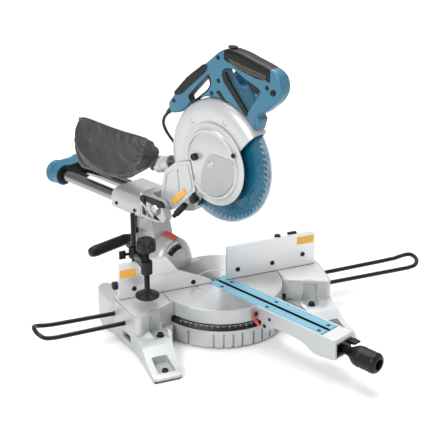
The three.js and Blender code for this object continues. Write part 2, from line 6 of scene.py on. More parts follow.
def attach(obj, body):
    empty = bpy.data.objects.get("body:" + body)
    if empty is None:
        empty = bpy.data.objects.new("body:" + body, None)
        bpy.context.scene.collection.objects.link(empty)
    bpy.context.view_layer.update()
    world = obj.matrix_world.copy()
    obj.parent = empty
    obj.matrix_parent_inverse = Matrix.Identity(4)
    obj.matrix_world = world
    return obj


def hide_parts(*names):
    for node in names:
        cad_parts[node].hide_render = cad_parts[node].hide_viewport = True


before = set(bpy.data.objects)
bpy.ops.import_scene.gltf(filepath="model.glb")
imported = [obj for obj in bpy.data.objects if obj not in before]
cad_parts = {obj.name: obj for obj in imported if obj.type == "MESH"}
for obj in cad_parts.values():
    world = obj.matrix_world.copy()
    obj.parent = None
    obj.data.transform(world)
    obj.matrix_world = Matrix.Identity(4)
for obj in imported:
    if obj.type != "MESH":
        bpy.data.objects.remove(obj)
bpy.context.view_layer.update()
OX, OY = 34.979, 61.166
BASE = Matrix.Translation((-OX / 1000, -OY / 1000, 0)) @ Matrix.Scale(0.001, 4)
ARM = Matrix.Translation((-OX / 1000, -OY / 1000, 0)) @ Matrix.Rotation(math.radians(22.5), 4, 'Z') @ Matrix.Scale(0.001, 4)
def P(d, n, z): return Vector((n, -d, z))
def V(x, y, z): return Vector((x, y, z))
def rowpt(d, n, z): return ARM @ P(d, n, z)
pi = math.pi

# ------------------------------------------------------------------ camera, light, floor
cam = bpy.data.objects.new("camera", bpy.data.cameras.new("camera"))
bpy.context.scene.collection.objects.link(cam)
bpy.context.scene.camera = cam
a, e = math.radians(-22.667), math.radians(23.381)
cam.matrix_world = Matrix(((math.cos(a), -math.sin(a) * math.sin(e), math.sin(a) * math.cos(e), -0.876567),
                           (math.sin(a), math.cos(a) * math.sin(e), -math.cos(a) * math.cos(e), -2.043636),
                           (0, math.cos(e), math.sin(e), 1.183486), (0, 0, 0, 1)))
cam.data.sensor_width = 36; cam.data.lens = 89.71
cam.data.clip_start, cam.data.clip_end = 0.05, 60
def area(name, loc, target, size, power, col=(1, 1, 1)):
    l = bpy.data.lights.new(name, 'AREA'); l.shape = 'RECTANGLE'; l.size, l.size_y = size; l.energy = power; l.color = col
    o = bpy.data.objects.new(name, l); bpy.context.scene.collection.objects.link(o)
    o.location = loc; o.rotation_mode = 'QUATERNION'
    o.rotation_quaternion = (Vector(target) - Vector(loc)).to_track_quat('-Z', 'Y')
area("key", (-2.2, -1.3, 2.0), (0, 0, 0.2), (1.4, 1.4), 56)
area("fill", (2.4, -1.7, 1.6), (0, 0, 0.25), (1.3, 1.3), 9)
area("top", (0.3, 0.7, 2.8), (0, 0, 0.2), (1.8, 1.8), 54)
area("rim", (1.0, 1.9, 3.0), (0, 0, 0.3), (1.8, 1.0), 14)
w = bpy.data.worlds.new("studio"); bpy.context.scene.world = w; w.use_nodes = True
nt = w.node_tree; tcw = nt.nodes.new("ShaderNodeTexCoord"); sp_ = nt.nodes.new("ShaderNodeSeparateXYZ"); cr = nt.nodes.new("ShaderNodeValToRGB")
nt.links.new(tcw.outputs["Generated"], sp_.inputs[0]); nt.links.new(sp_.outputs[2], cr.inputs[0]); nt.links.new(cr.outputs[0], nt.nodes["Background"].inputs[0])
# a studio with a bright ceiling, a darker band at eye height and a pale floor
cr.color_ramp.elements[0].position = 0.0; cr.color_ramp.elements[0].color = (0.62, 0.62, 0.62, 1)
cr.color_ramp.elements[1].position = 1.0; cr.color_ramp.elements[1].color = (0.95, 0.95, 0.96, 1)
for ps, c_ in ((0.4, 0.6), (0.5, 0.38), (0.56, 0.3), (0.68, 0.6), (0.8, 0.92)):
    el = cr.color_ramp.elements.new(ps); el.color = (c_, c_, c_, 1)
nt.nodes["Background"].inputs[1].default_value = 0.8
bpy.context.scene.view_settings.view_transform = 'Standard'

# ------------------------------------------------------------------ mesh making
def new(name, verts, faces):
    me = bpy.data.meshes.new(name); me.from_pydata([tuple(v) for v in verts], [], faces); me.validate()
    bm = bmesh.new(); bm.from_mesh(me); bmesh.ops.recalc_face_normals(bm, faces=bm.faces); bm.to_mesh(me); bm.free()
    o = bpy.data.objects.new(name, me); bpy.context.scene.collection.objects.link(o); return o
def extr(lo, hi):
    k = len(lo)
    return new("t", list(lo) + list(hi), [list(range(k))[::-1], [k + i for i in range(k)]] + [[i, (i + 1) % k, k + (i + 1) % k, k + i] for i in range(k)])
def prism(pts, z0, z1): return extr([V(x, y, z0) for x, y in pts], [V(x, y, z1) for x, y in pts])
def side(pts, n0, n1): return extr([P(d, n0, z) for d, z in pts], [P(d, n1, z) for d, z in pts])
def front(pts, d0, d1): return extr([P(d0, n, z) for n, z in pts], [P(d1, n, z) for n, z in pts])
def xz(pts, y0, y1): return extr([V(x, y0, z) for x, z in pts], [V(x, y1, z) for x, z in pts])
def box(x0, x1, y0, y1, z0, z1): return prism([(x0, y0), (x1, y0), (x1, y1), (x0, y1)], z0, z1)
def turned(p, q, prof, seg=72, wob=None):
    dr = (q - p).normalized(); u = dr.orthogonal().normalized(); w_ = dr.cross(u)
    closed = prof[0][0] > 1e-6 and tuple(prof[0]) == tuple(prof[-1])
    pts = prof[:-1] if closed else prof
    vs, rings = [], []
    for r, h in pts:
        if r < 1e-6: rings.append([len(vs)]); vs.append(p + dr * h)
        else:
            rings.append([len(vs) + i for i in range(seg)])
            for i in range(seg):
                t = 2 * pi * i / seg; rr = r * (wob(t, r, h) if wob else 1)
                vs.append(p + dr * h + (u * math.cos(t) + w_ * math.sin(t)) * rr)
    fs = []
    pairs = list(zip(rings, rings[1:])) + ([(rings[-1], rings[0])] if closed else [])
    for A_, B_ in pairs:
        if len(A_) == 1 and len(B_) == 1: continue
        for i in range(seg):
            j = (i + 1) % seg
            if len(A_) == 1: fs.append([A_[0], B_[j], B_[i]])
            elif len(B_) == 1: fs.append([A_[i], A_[j], B_[0]])
            else: fs.append([A_[i], A_[j], B_[j], B_[i]])
    if not closed:
        for R_ in (rings[0], rings[-1]):
            if len(R_) > 1: fs.append(list(R_))
    return new("t", vs, fs)
def rod(p, q, r, seg=48, r2=None, ch=0.0):
    L = (q - p).length; r2 = r if r2 is None else r2
    if ch: return turned(p, q, [(0, 0), (r - ch, 0), (r, ch), (r2, L - ch), (r2 - ch, L), (0, L)], seg)
    return turned(p, q, [(0, 0), (r, 0), (r2, L), (0, L)], seg)
def ring(p, q, ri, ro, seg=96):
    L = (q - p).length
    return turned(p, q, [(ri, 0), (ro, 0), (ro, L), (ri, L), (ri, 0)], seg)
def circle(cx, cy, r, a0, a1, k):
    return [(cx + r * math.cos(math.radians(a0 + (a1 - a0) * i / k)), cy + r * math.sin(math.radians(a0 + (a1 - a0) * i / k))) for i in range(k + 1)]
def drop(o):
    me = o.data; bpy.data.objects.remove(o); bpy.data.meshes.remove(me)
def pile(*os):
    """Meshes put together in one object, with no joining of faces."""
    bm = bmesh.new()
    for o in os: bm.from_mesh(o.data)
    me = bpy.data.meshes.new("p"); bm.to_mesh(me); bm.free()
    k = bpy.data.objects.new("p", me); bpy.context.scene.collection.objects.link(k)
    for o in os: drop(o)
    return k
def bake(o):
    dg = bpy.context.evaluated_depsgraph_get(); me = bpy.data.meshes.new_from_object(o.evaluated_get(dg))
    old = o.data; o.modifiers.clear(); o.data = me
    if isinstance(old, bpy.types.Mesh): bpy.data.meshes.remove(old)
    return o
def boolean(a_, b_, op):
    m = a_.modifiers.new("b", 'BOOLEAN'); m.object = b_; m.operation = op; m.solver = 'MANIFOLD'
    bake(a_); drop(b_); return a_
def cut(a_, *bs):
    for b_ in bs: boolean(a_, b_, 'DIFFERENCE')
    return a_
def join(a_, *bs):
    for b_ in bs: boolean(a_, b_, 'UNION')
    return a_
def meet(a_, b_): return boolean(a_, b_, 'INTERSECT')
def round_pts(pts, r, k=4):
    """An outline with its corners rounded."""
    out, n = [], len(pts)
    for i in range(n):
        p0, p1, p2 = Vector(pts[i - 1]), Vector(pts[i]), Vector(pts[(i + 1) % n])
        d0, d1 = (p0 - p1), (p2 - p1); l = min(r, d0.length * 0.45, d1.length * 0.45)
        A_, B_ = p1 + d0.normalized() * l, p1 + d1.normalized() * l
        for j in range(k + 1):
            t = j / k; q = A_ * (1 - t) ** 2 + p1 * 2 * t * (1 - t) + B_ * t * t; out.append((q.x, q.y))
    return out
def catmull(pts, per):
    """Centripetal-like smooth line through points."""
    pts = [Vector(p) for p in pts]; out = []
    for i in range(len(pts) - 1):
        p0 = pts[i - 1] if i else pts[0] * 2 - pts[1]; p1, p2 = pts[i], pts[i + 1]
        p3 = pts[i + 2] if i + 2 < len(pts) else pts[-1] * 2 - pts[-2]
        for j in range(per):
            t = j / per
            out.append(0.5 * ((2 * p1) + (p2 - p0) * t + (2 * p0 - 5 * p1 + 4 * p2 - p3) * t * t + (3 * p1 - p0 - 3 * p2 + p3) * t ** 3))
    return out + [pts[-1]]
def tube(pts, r, res=5, name="t"):
    """A round tube along points, as a mesh."""
    c = bpy.data.curves.new(name, 'CURVE'); c.dimensions = '3D'; s = c.splines.new('POLY'); s.points.add(len(pts) - 1)
    for k, p in zip(s.points, pts): k.co = (p[0], p[1], p[2], 1)
    c.bevel_depth = r; c.bevel_resolution = res; c.use_fill_caps = True
    o = bpy.data.objects.new(name, c); bpy.context.scene.collection.objects.link(o)
    dg = bpy.context.evaluated_depsgraph_get(); me = bpy.data.meshes.new_from_object(o.evaluated_get(dg))
    bpy.data.objects.remove(o); bpy.data.curves.remove(c)
    k = bpy.data.objects.new("t", me); bpy.context.scene.collection.objects.link(k); return k
def smooth(o, ang=32):
    o.data.shade_smooth(); o.data.set_sharp_from_angle(angle=math.radians(ang))
def fin(o, name, mat, body, reps=(), F=ARM, bev=0.6, seg=2, ang=34, mats=None):
    o.name = name; o.data.name = name
    if F is not None: o.data.transform(F)
    if o.data.materials: o.data.materials.clear()
    for m in (mats or [mat]): o.data.materials.append(m)
    smooth(o, ang)
    if bev:
        b = o.modifiers.new("edge", 'BEVEL'); b.width = bev / 1000; b.segments = seg; b.limit_method = 'ANGLE'
        b.angle_limit = math.radians(ang); b.harden_normals = True; b.miter_outer = 'MITER_ARC'; b.use_clamp_overlap = True
    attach(o, body)
    if reps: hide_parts(*([reps] if isinstance(reps, str) else reps))
    return o

# ------------------------------------------------------------------ materials
def mat(name, col, rough=0.5, metal=0.0, var=0.06, vscale=14, rvar=0.08, bump=0.1, bscale=900, bdist=0.0002, dark=None, stretch=(1, 1, 1), coat=0.0, rings=None, **soc):
    """Procedural surface: cloudy colour, uneven roughness and a fine bump. rings=(x, y) gives turned marks about a
    vertical line and a painted reflection: light and dark sectors about that line painted into the base colour.
    """
    m = bpy.data.materials.new(name); m.use_nodes = True; nt = m.node_tree; b = nt.nodes["Principled BSDF"]; L = nt.links.new
    b.inputs["Metallic"].default_value = metal
    if coat: b.inputs["Coat Weight"].default_value = coat; b.inputs["Coat Roughness"].default_value = 0.15
    for k, v in soc.items(): b.inputs[k.replace("_", " ")].default_value = v
    tc = nt.nodes.new("ShaderNodeTexCoord")
    mp = nt.nodes.new("ShaderNodeMapping"); mp.inputs["Scale"].default_value = stretch; L(tc.outputs["Object"], mp.inputs["Vector"])
    n1 = nt.nodes.new("ShaderNodeTexNoise"); n1.inputs["Scale"].default_value = vscale; n1.inputs["Detail"].default_value = 5; L(mp.outputs[0], n1.inputs["Vector"])
    rp = nt.nodes.new("ShaderNodeValToRGB"); L(n1.outputs["Fac"], rp.inputs[0])
    d0 = dark or tuple(c * (1 - var) for c in col[:3])
    rp.color_ramp.elements[0].position = 0.3; rp.color_ramp.elements[0].color = (*d0, 1)
    rp.color_ramp.elements[1].position = 0.7; rp.color_ramp.elements[1].color = (*[min(1, c * (1 + var)) for c in col[:3]], 1)
    if not rings: L(rp.outputs[0], b.inputs["Base Color"])
    mr = nt.nodes.new("ShaderNodeMapRange"); L(n1.outputs["Fac"], mr.inputs[0]); mr.inputs[3].default_value = max(0.03, rough - rvar); mr.inputs[4].default_value = min(1, rough + rvar)
    L(mr.outputs[0], b.inputs["Roughness"])
    n2 = nt.nodes.new("ShaderNodeTexNoise"); n2.inputs["Scale"].default_value = bscale; n2.inputs["Detail"].default_value = 2
    if rings:
        sb = nt.nodes.new("ShaderNodeVectorMath"); sb.operation = 'SUBTRACT'; L(tc.outputs["Object"], sb.inputs[0]); sb.inputs[1].default_value = (*rings, 0)
        ml = nt.nodes.new("ShaderNodeVectorMath"); ml.operation = 'MULTIPLY'; L(sb.outputs[0], ml.inputs[0]); ml.inputs[1].default_value = (1, 1, 0)
        ln = nt.nodes.new("ShaderNodeVectorMath"); ln.operation = 'LENGTH'; L(ml.outputs[0], ln.inputs[0])
        cb = nt.nodes.new("ShaderNodeCombineXYZ"); L(ln.outputs["Value"], cb.inputs[0]); L(cb.outputs[0], n2.inputs["Vector"])
    else:
        L(mp.outputs[0], n2.inputs["Vector"])
    if rings:
        cx = nt.nodes.new("ShaderNodeVectorMath"); cx.operation = 'CROSS_PRODUCT'; cx.inputs[0].default_value = (0, 0, 1); L(ml.outputs[0], cx.inputs[1])
        nz = nt.nodes.new("ShaderNodeVectorMath"); nz.operation = 'NORMALIZE'; L(cx.outputs[0], nz.inputs[0]); nr = nt.nodes.new("ShaderNodeVectorMath"); nr.operation = "NORMALIZE"; L(ml.outputs[0], nr.inputs[0]); L(nr.outputs[0], b.inputs["Tangent"])
        b.inputs["Anisotropic"].default_value = 0.8
        # painted reflection: light and dark sectors about the centre, painted into the base colour in place of the
        # turned face's reflections
        sx = nt.nodes.new("ShaderNodeSeparateXYZ"); L(ml.outputs[0], sx.inputs[0])
        at = nt.nodes.new("ShaderNodeMath"); at.operation = 'ARCTAN2'; L(sx.outputs[1], at.inputs[0]); L(sx.outputs[0], at.inputs[1])
        mr2 = nt.nodes.new("ShaderNodeMapRange"); mr2.inputs[1].default_value = -math.pi; mr2.inputs[2].default_value = math.pi; L(at.outputs[0], mr2.inputs[0])
        cr = nt.nodes.new("ShaderNodeValToRGB"); L(mr2.outputs[0], cr.inputs[0]); cr.color_ramp.interpolation = 'EASE'
        els = cr.color_ramp.elements
        painted_reflection_tones = ((0.0, 1.0), (0.1, 1.0), (0.16, 0.9), (0.21, 0.42), (0.26, 0.34), (0.31, 0.85), (0.36, 0.95), (0.45, 0.7), (0.55, 0.9), (0.66, 0.85), (0.72, 0.45), (0.8, 0.3), (0.9, 0.3), (0.95, 0.55), (1.0, 1.0))
        els[0].position = 0; els[0].color = (painted_reflection_tones[0][1],) * 3 + (1,); els[1].position = 1; els[1].color = (painted_reflection_tones[-1][1],) * 3 + (1,)
        for p_, v_ in painted_reflection_tones[1:-1]:
            e_ = els.new(p_); e_.color = (v_, v_, v_, 1)
        mx = nt.nodes.new("ShaderNodeMix"); mx.data_type = 'RGBA'; mx.blend_type = 'MULTIPLY'; mx.inputs["Factor"].default_value = 1
        L(rp.outputs[0], mx.inputs[6]); L(cr.outputs[0], mx.inputs[7]); L(mx.outputs[2], b.inputs["Base Color"])
    bp = nt.nodes.new("ShaderNodeBump"); bp.inputs["Strength"].default_value = bump; bp.inputs["Distance"].default_value = bdist
    L(n2.outputs["Fac"], bp.inputs["Height"]); L(bp.outputs[0], b.inputs["Normal"])
    return m
def lin(r, g, b): return tuple(((c / 255) / 12.92 if c / 255 <= 0.04045 else ((c / 255 + 0.055) / 1.055) ** 2.4) for c in (r, g, b))
PIV = (-OX / 1000, -OY / 1000)
M = {
    "cast": mat("cast_aluminium", lin(186, 188, 189), 0.4, 0.4, 0.04, 9, 0.07, 0.35, 1500, 0.00012),
    "cast_dark": mat("cast_shadow", lin(120, 122, 124), 0.5, 0.4, 0.05, 12, 0.08, 0.3, 1200, 0.00015),
    # the table face carries painted reflection: light and dark sectors about the pivot in its base colour
    "table": mat("turned_aluminium", lin(226, 227, 228), 0.3, 0.6, 0.03, 8, 0.05, 0.35, 900, 0.00006, rings=PIV),
    "milled": mat("milled_aluminium", lin(226, 227, 228), 0.36, 0.5, 0.02, 6, 0.03, 0.06, 900, 0.00001, stretch=(1, 6, 10)),
    "silver": mat("silver_paint", lin(192, 193, 194), 0.36, 0.35, 0.02, 6, 0.05, 0.12, 2200, 0.00006, coat=0.25),
    "black": mat("black_plastic", lin(15, 15, 16), 0.42, 0, 0.12, 20, 0.08, 0.3, 1800, 0.0001, Specular_IOR_Level=0.34),
    "satin": mat("black_steel", lin(20, 20, 22), 0.3, 0.3, 0.1, 30, 0.08, 0.12, 1200, 0.00008, Specular_IOR_Level=0.4),
    "grip": mat("soft_grip", lin(15, 15, 16), 0.4, 0, 0.1, 20, 0.06, 0.35, 1600, 0.00015, Specular_IOR_Level=0.3),
    "blue": mat("blue_plastic", lin(44, 104, 130), 0.38, 0, 0.05, 12, 0.06, 0.3, 1900, 0.0001, coat=0.1),
    "pale": mat("kerf_plastic", lin(128, 182, 202), 0.42, 0, 0.05, 12, 0.06, 0.25, 1700, 0.0001),
    "red": mat("red_plastic", lin(214, 84, 66), 0.42, 0, 0.05, 30, 0.05, 0.1, 1500, 0.00008),
    "chrome": mat("plated_steel", lin(150, 151, 153), 0.14, 1.0, 0.02, 8, 0.03, 0.05, 900, 0.00003, stretch=(1, 1, 1)),
    "steel": mat("brushed_steel", lin(190, 192, 194), 0.28, 0.95, 0.05, 30, 0.06, 0.3, 1500, 0.00005),
    "blade": mat("blade_steel", lin(120, 122, 124), 0.25, 0.95, 0.04, 12, 0.05, 0.2, 900, 0.00004),
    "carbide": mat("carbide", lin(214, 216, 218), 0.35, 0.6, 0.08, 60, 0.05, 0.1, 1200, 0.00004),
    "label": mat("yellow_plate", lin(234, 176, 70), 0.45, 0, 0.04, 40, 0.05, 0.05, 900, 0.00003),
    "plate": mat("silver_plate", lin(168, 169, 170), 0.3, 0.55, 0.02, 6, 0.05, 0.1, 2000, 0.00005),
    "nub": mat("grip_nub", lin(112, 106, 100), 0.4, 0, 0.05, 30, 0.05, 0.05, 900, 0.00003),
    "label_b": mat("pale_plate", lin(120, 176, 200), 0.35, 0.1, 0.05, 30, 0.05, 0.05, 900, 0.00003),
    "white": mat("white_mark", lin(232, 233, 233), 0.5, 0, 0.03, 40, 0.05, 0.05, 900, 0.00003),
    "rubber": mat("cord_rubber", lin(24, 24, 26), 0.5, 0, 0.12, 30, 0.08, 0.3, 1400, 0.0001),
    # painted shade: a near-black for thin sheets laid where only shade falls, in gaps, slots and pockets
    "hole": mat("painted_shade_black", lin(14, 14, 15), 0.7, 0, 0.1, 30, 0.05, 0.1, 900, 0.0001),
}
g = mat("clear_blue", lin(22, 114, 148), 0.1, 0, 0.04, 6, 0.03, 0.0, 900, 0.00001); M["clear"] = g
g.node_tree.nodes["Principled BSDF"].inputs["Alpha"].default_value = 0.38
g.node_tree.nodes["Principled BSDF"].inputs["Transmission Weight"].default_value = 0.0
def cloth_mat():
    m = bpy.data.materials.new("dust_cloth"); m.use_nodes = True; nt = m.node_tree; b = nt.nodes["Principled BSDF"]; L = nt.links.new
    b.inputs["Sheen Weight"].default_value = 0.35; b.inputs["Sheen Roughness"].default_value = 0.45
    tc = nt.nodes.new("ShaderNodeTexCoord"); mp = nt.nodes.new("ShaderNodeMapping"); mp.inputs["Rotation"].default_value = (0, 0, math.radians(-22.5)); L(tc.outputs["Object"], mp.inputs[0])
    n1 = nt.nodes.new("ShaderNodeTexNoise"); n1.inputs["Scale"].default_value = 22; n1.inputs["Detail"].default_value = 6; L(mp.outputs[0], n1.inputs["Vector"])
    rp = nt.nodes.new("ShaderNodeValToRGB"); L(n1.outputs["Fac"], rp.inputs[0]); rp.color_ramp.elements[0].color = (*lin(44, 44, 47), 1); rp.color_ramp.elements[1].color = (*lin(64, 64, 67), 1)
    rp.color_ramp.elements[0].position = 0.3; rp.color_ramp.elements[1].position = 0.72
    hs = []
    for ax in ("Y", "Z"):
        wv = nt.nodes.new("ShaderNodeTexWave"); wv.wave_type = 'BANDS'; wv.bands_direction = ax; wv.inputs["Scale"].default_value = 260; wv.inputs["Distortion"].default_value = 0.6; wv.inputs["Detail"].default_value = 1
        L(mp.outputs[0], wv.inputs["Vector"]); hs.append(wv)
    mx = nt.nodes.new("ShaderNodeMath"); mx.operation = 'MULTIPLY'; L(hs[0].outputs["Fac"], mx.inputs[0]); L(hs[1].outputs["Fac"], mx.inputs[1])
    mc = nt.nodes.new("ShaderNodeMix"); mc.data_type = 'RGBA'; mc.blend_type = 'MULTIPLY'; mc.inputs[0].default_value = 0.35
    L(rp.outputs[0], mc.inputs[6]); L(mx.outputs[0], mc.inputs[7]); L(mc.outputs[2], b.inputs["Base Color"])
    b.inputs["Roughness"].default_value = 0.82
    bp = nt.nodes.new("ShaderNodeBump"); bp.inputs["Strength"].default_value = 0.5; bp.inputs["Distance"].default_value = 0.0004; L(mx.outputs[0], bp.inputs["Height"]); L(bp.outputs[0], b.inputs["Normal"])
    return m
M["cloth"] = cloth_mat()
fm = mat("pale_floor", (0.96, 0.96, 0.96), 0.6, 0, 0.01, 2, 0.03, 0.03, 300, 0.0001)
floor = new("floor", [V(-30, -30, 0), V(30, -30, 0), V(30, 30, 0), V(-30, 30, 0)], [[0, 1, 2, 3]]); floor.location.z = -0.0004
# painted light: the floor glows, its emission rising from none at 1 m from the origin to 0.6 at 5 m and beyond
fnt = fm.node_tree; ftc = fnt.nodes.new("ShaderNodeTexCoord"); fln = fnt.nodes.new("ShaderNodeVectorMath"); fln.operation = 'LENGTH'; fnt.links.new(ftc.outputs["Object"], fln.inputs[0])
floor_glow_ramp = fnt.nodes.new("ShaderNodeMapRange"); floor_glow_ramp.inputs[1].default_value = 1.0; floor_glow_ramp.inputs[2].default_value = 5.0; floor_glow_ramp.inputs[3].default_value = 0.0; floor_glow_ramp.inputs[4].default_value = 0.6; fnt.links.new(fln.outputs["Value"], floor_glow_ramp.inputs[0])
fnt.links.new(floor_glow_ramp.outputs[0], fnt.nodes["Principled BSDF"].inputs["Emission Strength"]); fnt.nodes["Principled BSDF"].inputs["Emission Color"].default_value = (1, 1, 1, 1)
floor.data.materials.append(fm)

# ------------------------------------------------------------------ cords
def cordcurve(name, pts_mm, r, body, m):
    pts = [ARM @ Vector(p) for p in pts_mm]
    c = bpy.data.curves.new(name, 'CURVE'); c.dimensions = '3D'; s = c.splines.new('POLY'); s.points.add(len(pts) - 1)
    for k, p in zip(s.points, pts): k.co = (*p, 1)
    c.bevel_depth = r / 1000; c.bevel_resolution = 4; c.use_fill_caps = True
    o = bpy.data.objects.new(name, c); bpy.context.scene.collection.objects.link(o); c.materials.append(m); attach(o, body); return o
CD, CN = -356, 120
TARGET = 2500.0
PLUG0 = P(-330, 76, 46.6)
def line_len(p): return sum((p[i + 1] - p[i]).length for i in range(len(p) - 1))
def route(k):
    """Gland, a bend on the floor, a straight run that meets the outer turn as a tangent, three and a bit layers of turns, and a last loop up to the plug. k scales the turns."""
    rs = [44.0 * k, 44.0 * k - 7.15, 44.0 * k - 14.3]; R0, bd, bn, RB = rs[0], -236.0, 34.0, 34.0
    best = None
    for i in range(500, 900):
        ph = math.radians(i / 10); pd, pn = bd - RB * math.sin(ph), bn - RB * math.cos(ph); hd_, hn = -math.cos(ph), math.sin(ph)
        off = (CD - pd) * hn - (CN - pn) * hd_
        if best is None or abs(abs(off) - R0) < best[0]: best = (abs(abs(off) - R0), ph, pd, pn, hd_, hn)
    _, ph, pd, pn, hd_, hn = best
    flat = [(-209.6 - 26.4 * i / 6, 0.0) for i in range(6)]
    flat += [(bd - RB * math.sin(ph * i / 12), bn - RB * math.cos(ph * i / 12)) for i in range(13)]
    along_ = (CD - pd) * hd_ + (CN - pn) * hn
    flat += [(pd + hd_ * along_ * i / 14, pn + hn * along_ * i / 14) for i in range(1, 15)]
    out, run_ = [], 0.0
    for i, (d_, n_) in enumerate(flat):
        if i: run_ += math.hypot(d_ - flat[i - 1][0], n_ - flat[i - 1][1])
        t = min(1, max(0, (run_ - 6) / 74)); t = t * t * (3 - 2 * t)
        out.append(P(d_, n_, 17 + (3.6 - 17) * t))
    start = math.atan2(flat[-1][1] - CN, flat[-1][0] - CD)
    order = []
    for li, z in enumerate((3.6, 10.65, 17.7, 24.75)):
        for r in (rs if li % 2 == 0 else rs[::-1]): order.append((r, z))
    N = 30; stop = math.radians(-190 + 3600) - start; total = stop / (2 * pi)
    m = int(total * N)
    for i in range(1, m + 1):
        t = i / m * total; idx = int(t); f = t - idx
        r0, z0 = order[idx]; r1, z1 = order[idx + 1]
        q = 0 if f < 0.66 else (f - 0.66) / 0.34; q = q * q * (3 - 2 * q)
        th = start + 2 * pi * t; r, z = r0 + (r1 - r0) * q, z0 + (z1 - z0) * q
        out.append(P(CD + r * math.cos(th), CN + r * math.sin(th), z))
    # straight off the turn, then round to the plug's boot
    e0 = out[-1]; th = start + stop; a0 = math.atan2(math.cos(th), -math.sin(th))
    while a0 > 0: a0 -= 2 * pi
    d0_, n0_ = -e0.y, e0.x; Dd, Dn = -330 - d0_, 76 - n0_
    ca_, sa_ = math.cos(a0), math.sin(a0)
    # (Dd, Dn) = s (ca, sa) + R (1 - sin a0, cos a0)
    det = ca_ * ca_ - sa_ * (1 - sa_); s_ = (Dd * ca_ - Dn * (1 - sa_)) / det; R = (ca_ * Dn - sa_ * Dd) / det
    tail = [(d0_ + ca_ * s_ * i / 8, n0_ + sa_ * s_ * i / 8) for i in range(1, 9)]
    td, tn = tail[-1]; cx_, cn_ = td - R * sa_, tn + R * ca_
    for i in range(1, 25):
        an = a0 + (pi / 2 - a0) * i / 24; tail.append((cx_ + R * math.sin(an), cn_ - R * math.cos(an)))
    L_ = 0; prev = (d0_, n0_); ls = []
    for q in tail: L_ += math.hypot(q[0] - prev[0], q[1] - prev[1]); ls.append(L_); prev = q
    for q, l in zip(tail, ls):
        t = l / L_; t = t * t * (3 - 2 * t); out.append(P(q[0], q[1], e0.z + (PLUG0.z - e0.z) * t))
    return out


# ================================================================== BASE
def mx(pts): return [(-x, y) for x, y in pts][::-1]
tableL = [(-248, 2), (-232, -90), (-222, -96), (-150, -58), (-128, -48), (-128, -2), (-150, 7), (-184, 16), (-200, 24), (-246, 24)]
lobeL = [(-246, 10), (-224, 10), (-214, 40), (-220, 74), (-222, 112), (-230, 121), (-244, 121), (-256, 106), (-259, 76), (-256, 40)]
legL = [(-234, -60), (-136, -60), (-150, -84), (-164, -126), (-172, -207), (-178, -213), (-230, -213), (-237, -207), (-232, -126)]
wedge = [(-60, 62), (-100, 44), (-126, 36), (-160, 21), (-207, 13), (-213, 10), (-213, 4.3), (-60, 4.3)]
def half(k):
    f = (lambda p: p) if k < 0 else mx
    t = prism(round_pts(f(tableL), 5), 4.3, 90)
    lb = prism(round_pts(f(lobeL), 8), 0, 75)
    x0, x1 = (-240, -130) if k < 0 else (130, 240)
    wd = extr([V(x0, y, z) for y, z in wedge], [V(x1, y, z) for y, z in wedge])
    leg = meet(prism(round_pts(f(legL), 6), 4.3, 70), wd)
    leg = cut(leg, rod(V(0, 0, 41.2), V(0, 0, 80), 183, 120))
    s = join(t, lb, leg)
    lo, hi = sorted((k * 165, k * 197))
    s = cut(s, rod(V(k * 181, -88, 41), V(k * 181, -88, 84), 20, 64), box(lo, hi, -130, -88, 41, 84), rod(V(k * 181, -92, 20), V(k * 181, -92, 60), 5, 32))
    s = cut(s, prism(round_pts([(k * 203 - 19, -200), (k * 203 + 19, -200), (k * 203 + 17, -150), (k * 203 - 17, -150)], 5), 9, 30))
    s = cut(s, prism(f([(-240, -2), (-226, -84), (-206, -84), (-206, -60), (-158, -60), (-150, -50), (-150, 6), (-200, 12), (-240, 18)]), -1, 38.5))
    # cast side panel pockets and the outer flank's shallow recess
    sx = sorted((k * 226, k * 262))
    s = cut(s, extr([V(sx[0], y, z) for y, z in [(-66, 18), (-30, 18), (-30, 34), (-62, 34)]], [V(sx[1], y, z) for y, z in [(-66, 18), (-30, 18), (-30, 34), (-62, 34)]]))
    s = cut(s, pile(rod(V(k * 140, -38, 54), V(k * 300, -38, 54), 5.6, 32), rod(V(k * 140, 12, 54), V(k * 300, 12, 54), 5.6, 32)))
    return s
br = ring(V(0, 0, 4.3), V(0, 0, 44), 126, 147.5, 192)
br = cut(br, box(-160, 160, 20, 160, 0, 60))
slots = []
for dg, hw in ((-141, 2.4), (-118.4, 2.4), (-110.2, 2.2), (-102.1, 2.2), (-94.2, 2.2), (-83.8, 2.4), (-75, 2.0), (-66, 2.4), (-57, 2.0), (-38, 2.4)):
    t = math.radians(dg)
    c_, s_ = math.cos(t), math.sin(t)
    slots.append(prism([(142.2 * c_ - hw * s_ * q1 + q2 * c_ * 9, 142.2 * s_ + hw * c_ * q1 + q2 * s_ * 9) for q1, q2 in ((-1, 0), (-1, 1), (1, 1), (1, 0))], 3, 36.5))
br = cut(br, pile(*slots))
sp = join(box(-132, 132, -22, 18, 8, 28), box(-16, 16, -130, 0, 8, 26), rod(V(0, 0, 8), V(0, 0, 54), 32, 64))
bc = join(half(-1), half(1), br, sp)
bc = cut(bc, rod(V(0, 0, 44.2), V(0, 0, 120), 140.5, 160), cut(ring(V(0, 0, 44.2), V(0, 0, 56), 120, 148.4, 160), box(-160, 160, -37.7, 170, 30, 70)))
bc = join(bc, rod(V(0, 0, 40), V(0, 0, 82), 7.6, 32), box(150, 240, 9.6, 22, 86, 128), box(141, 152, 9.6, 13, 86, 128))
fin(bc, "base_body", M["cast"], "base", "base_casting", BASE, 1.1, 2)
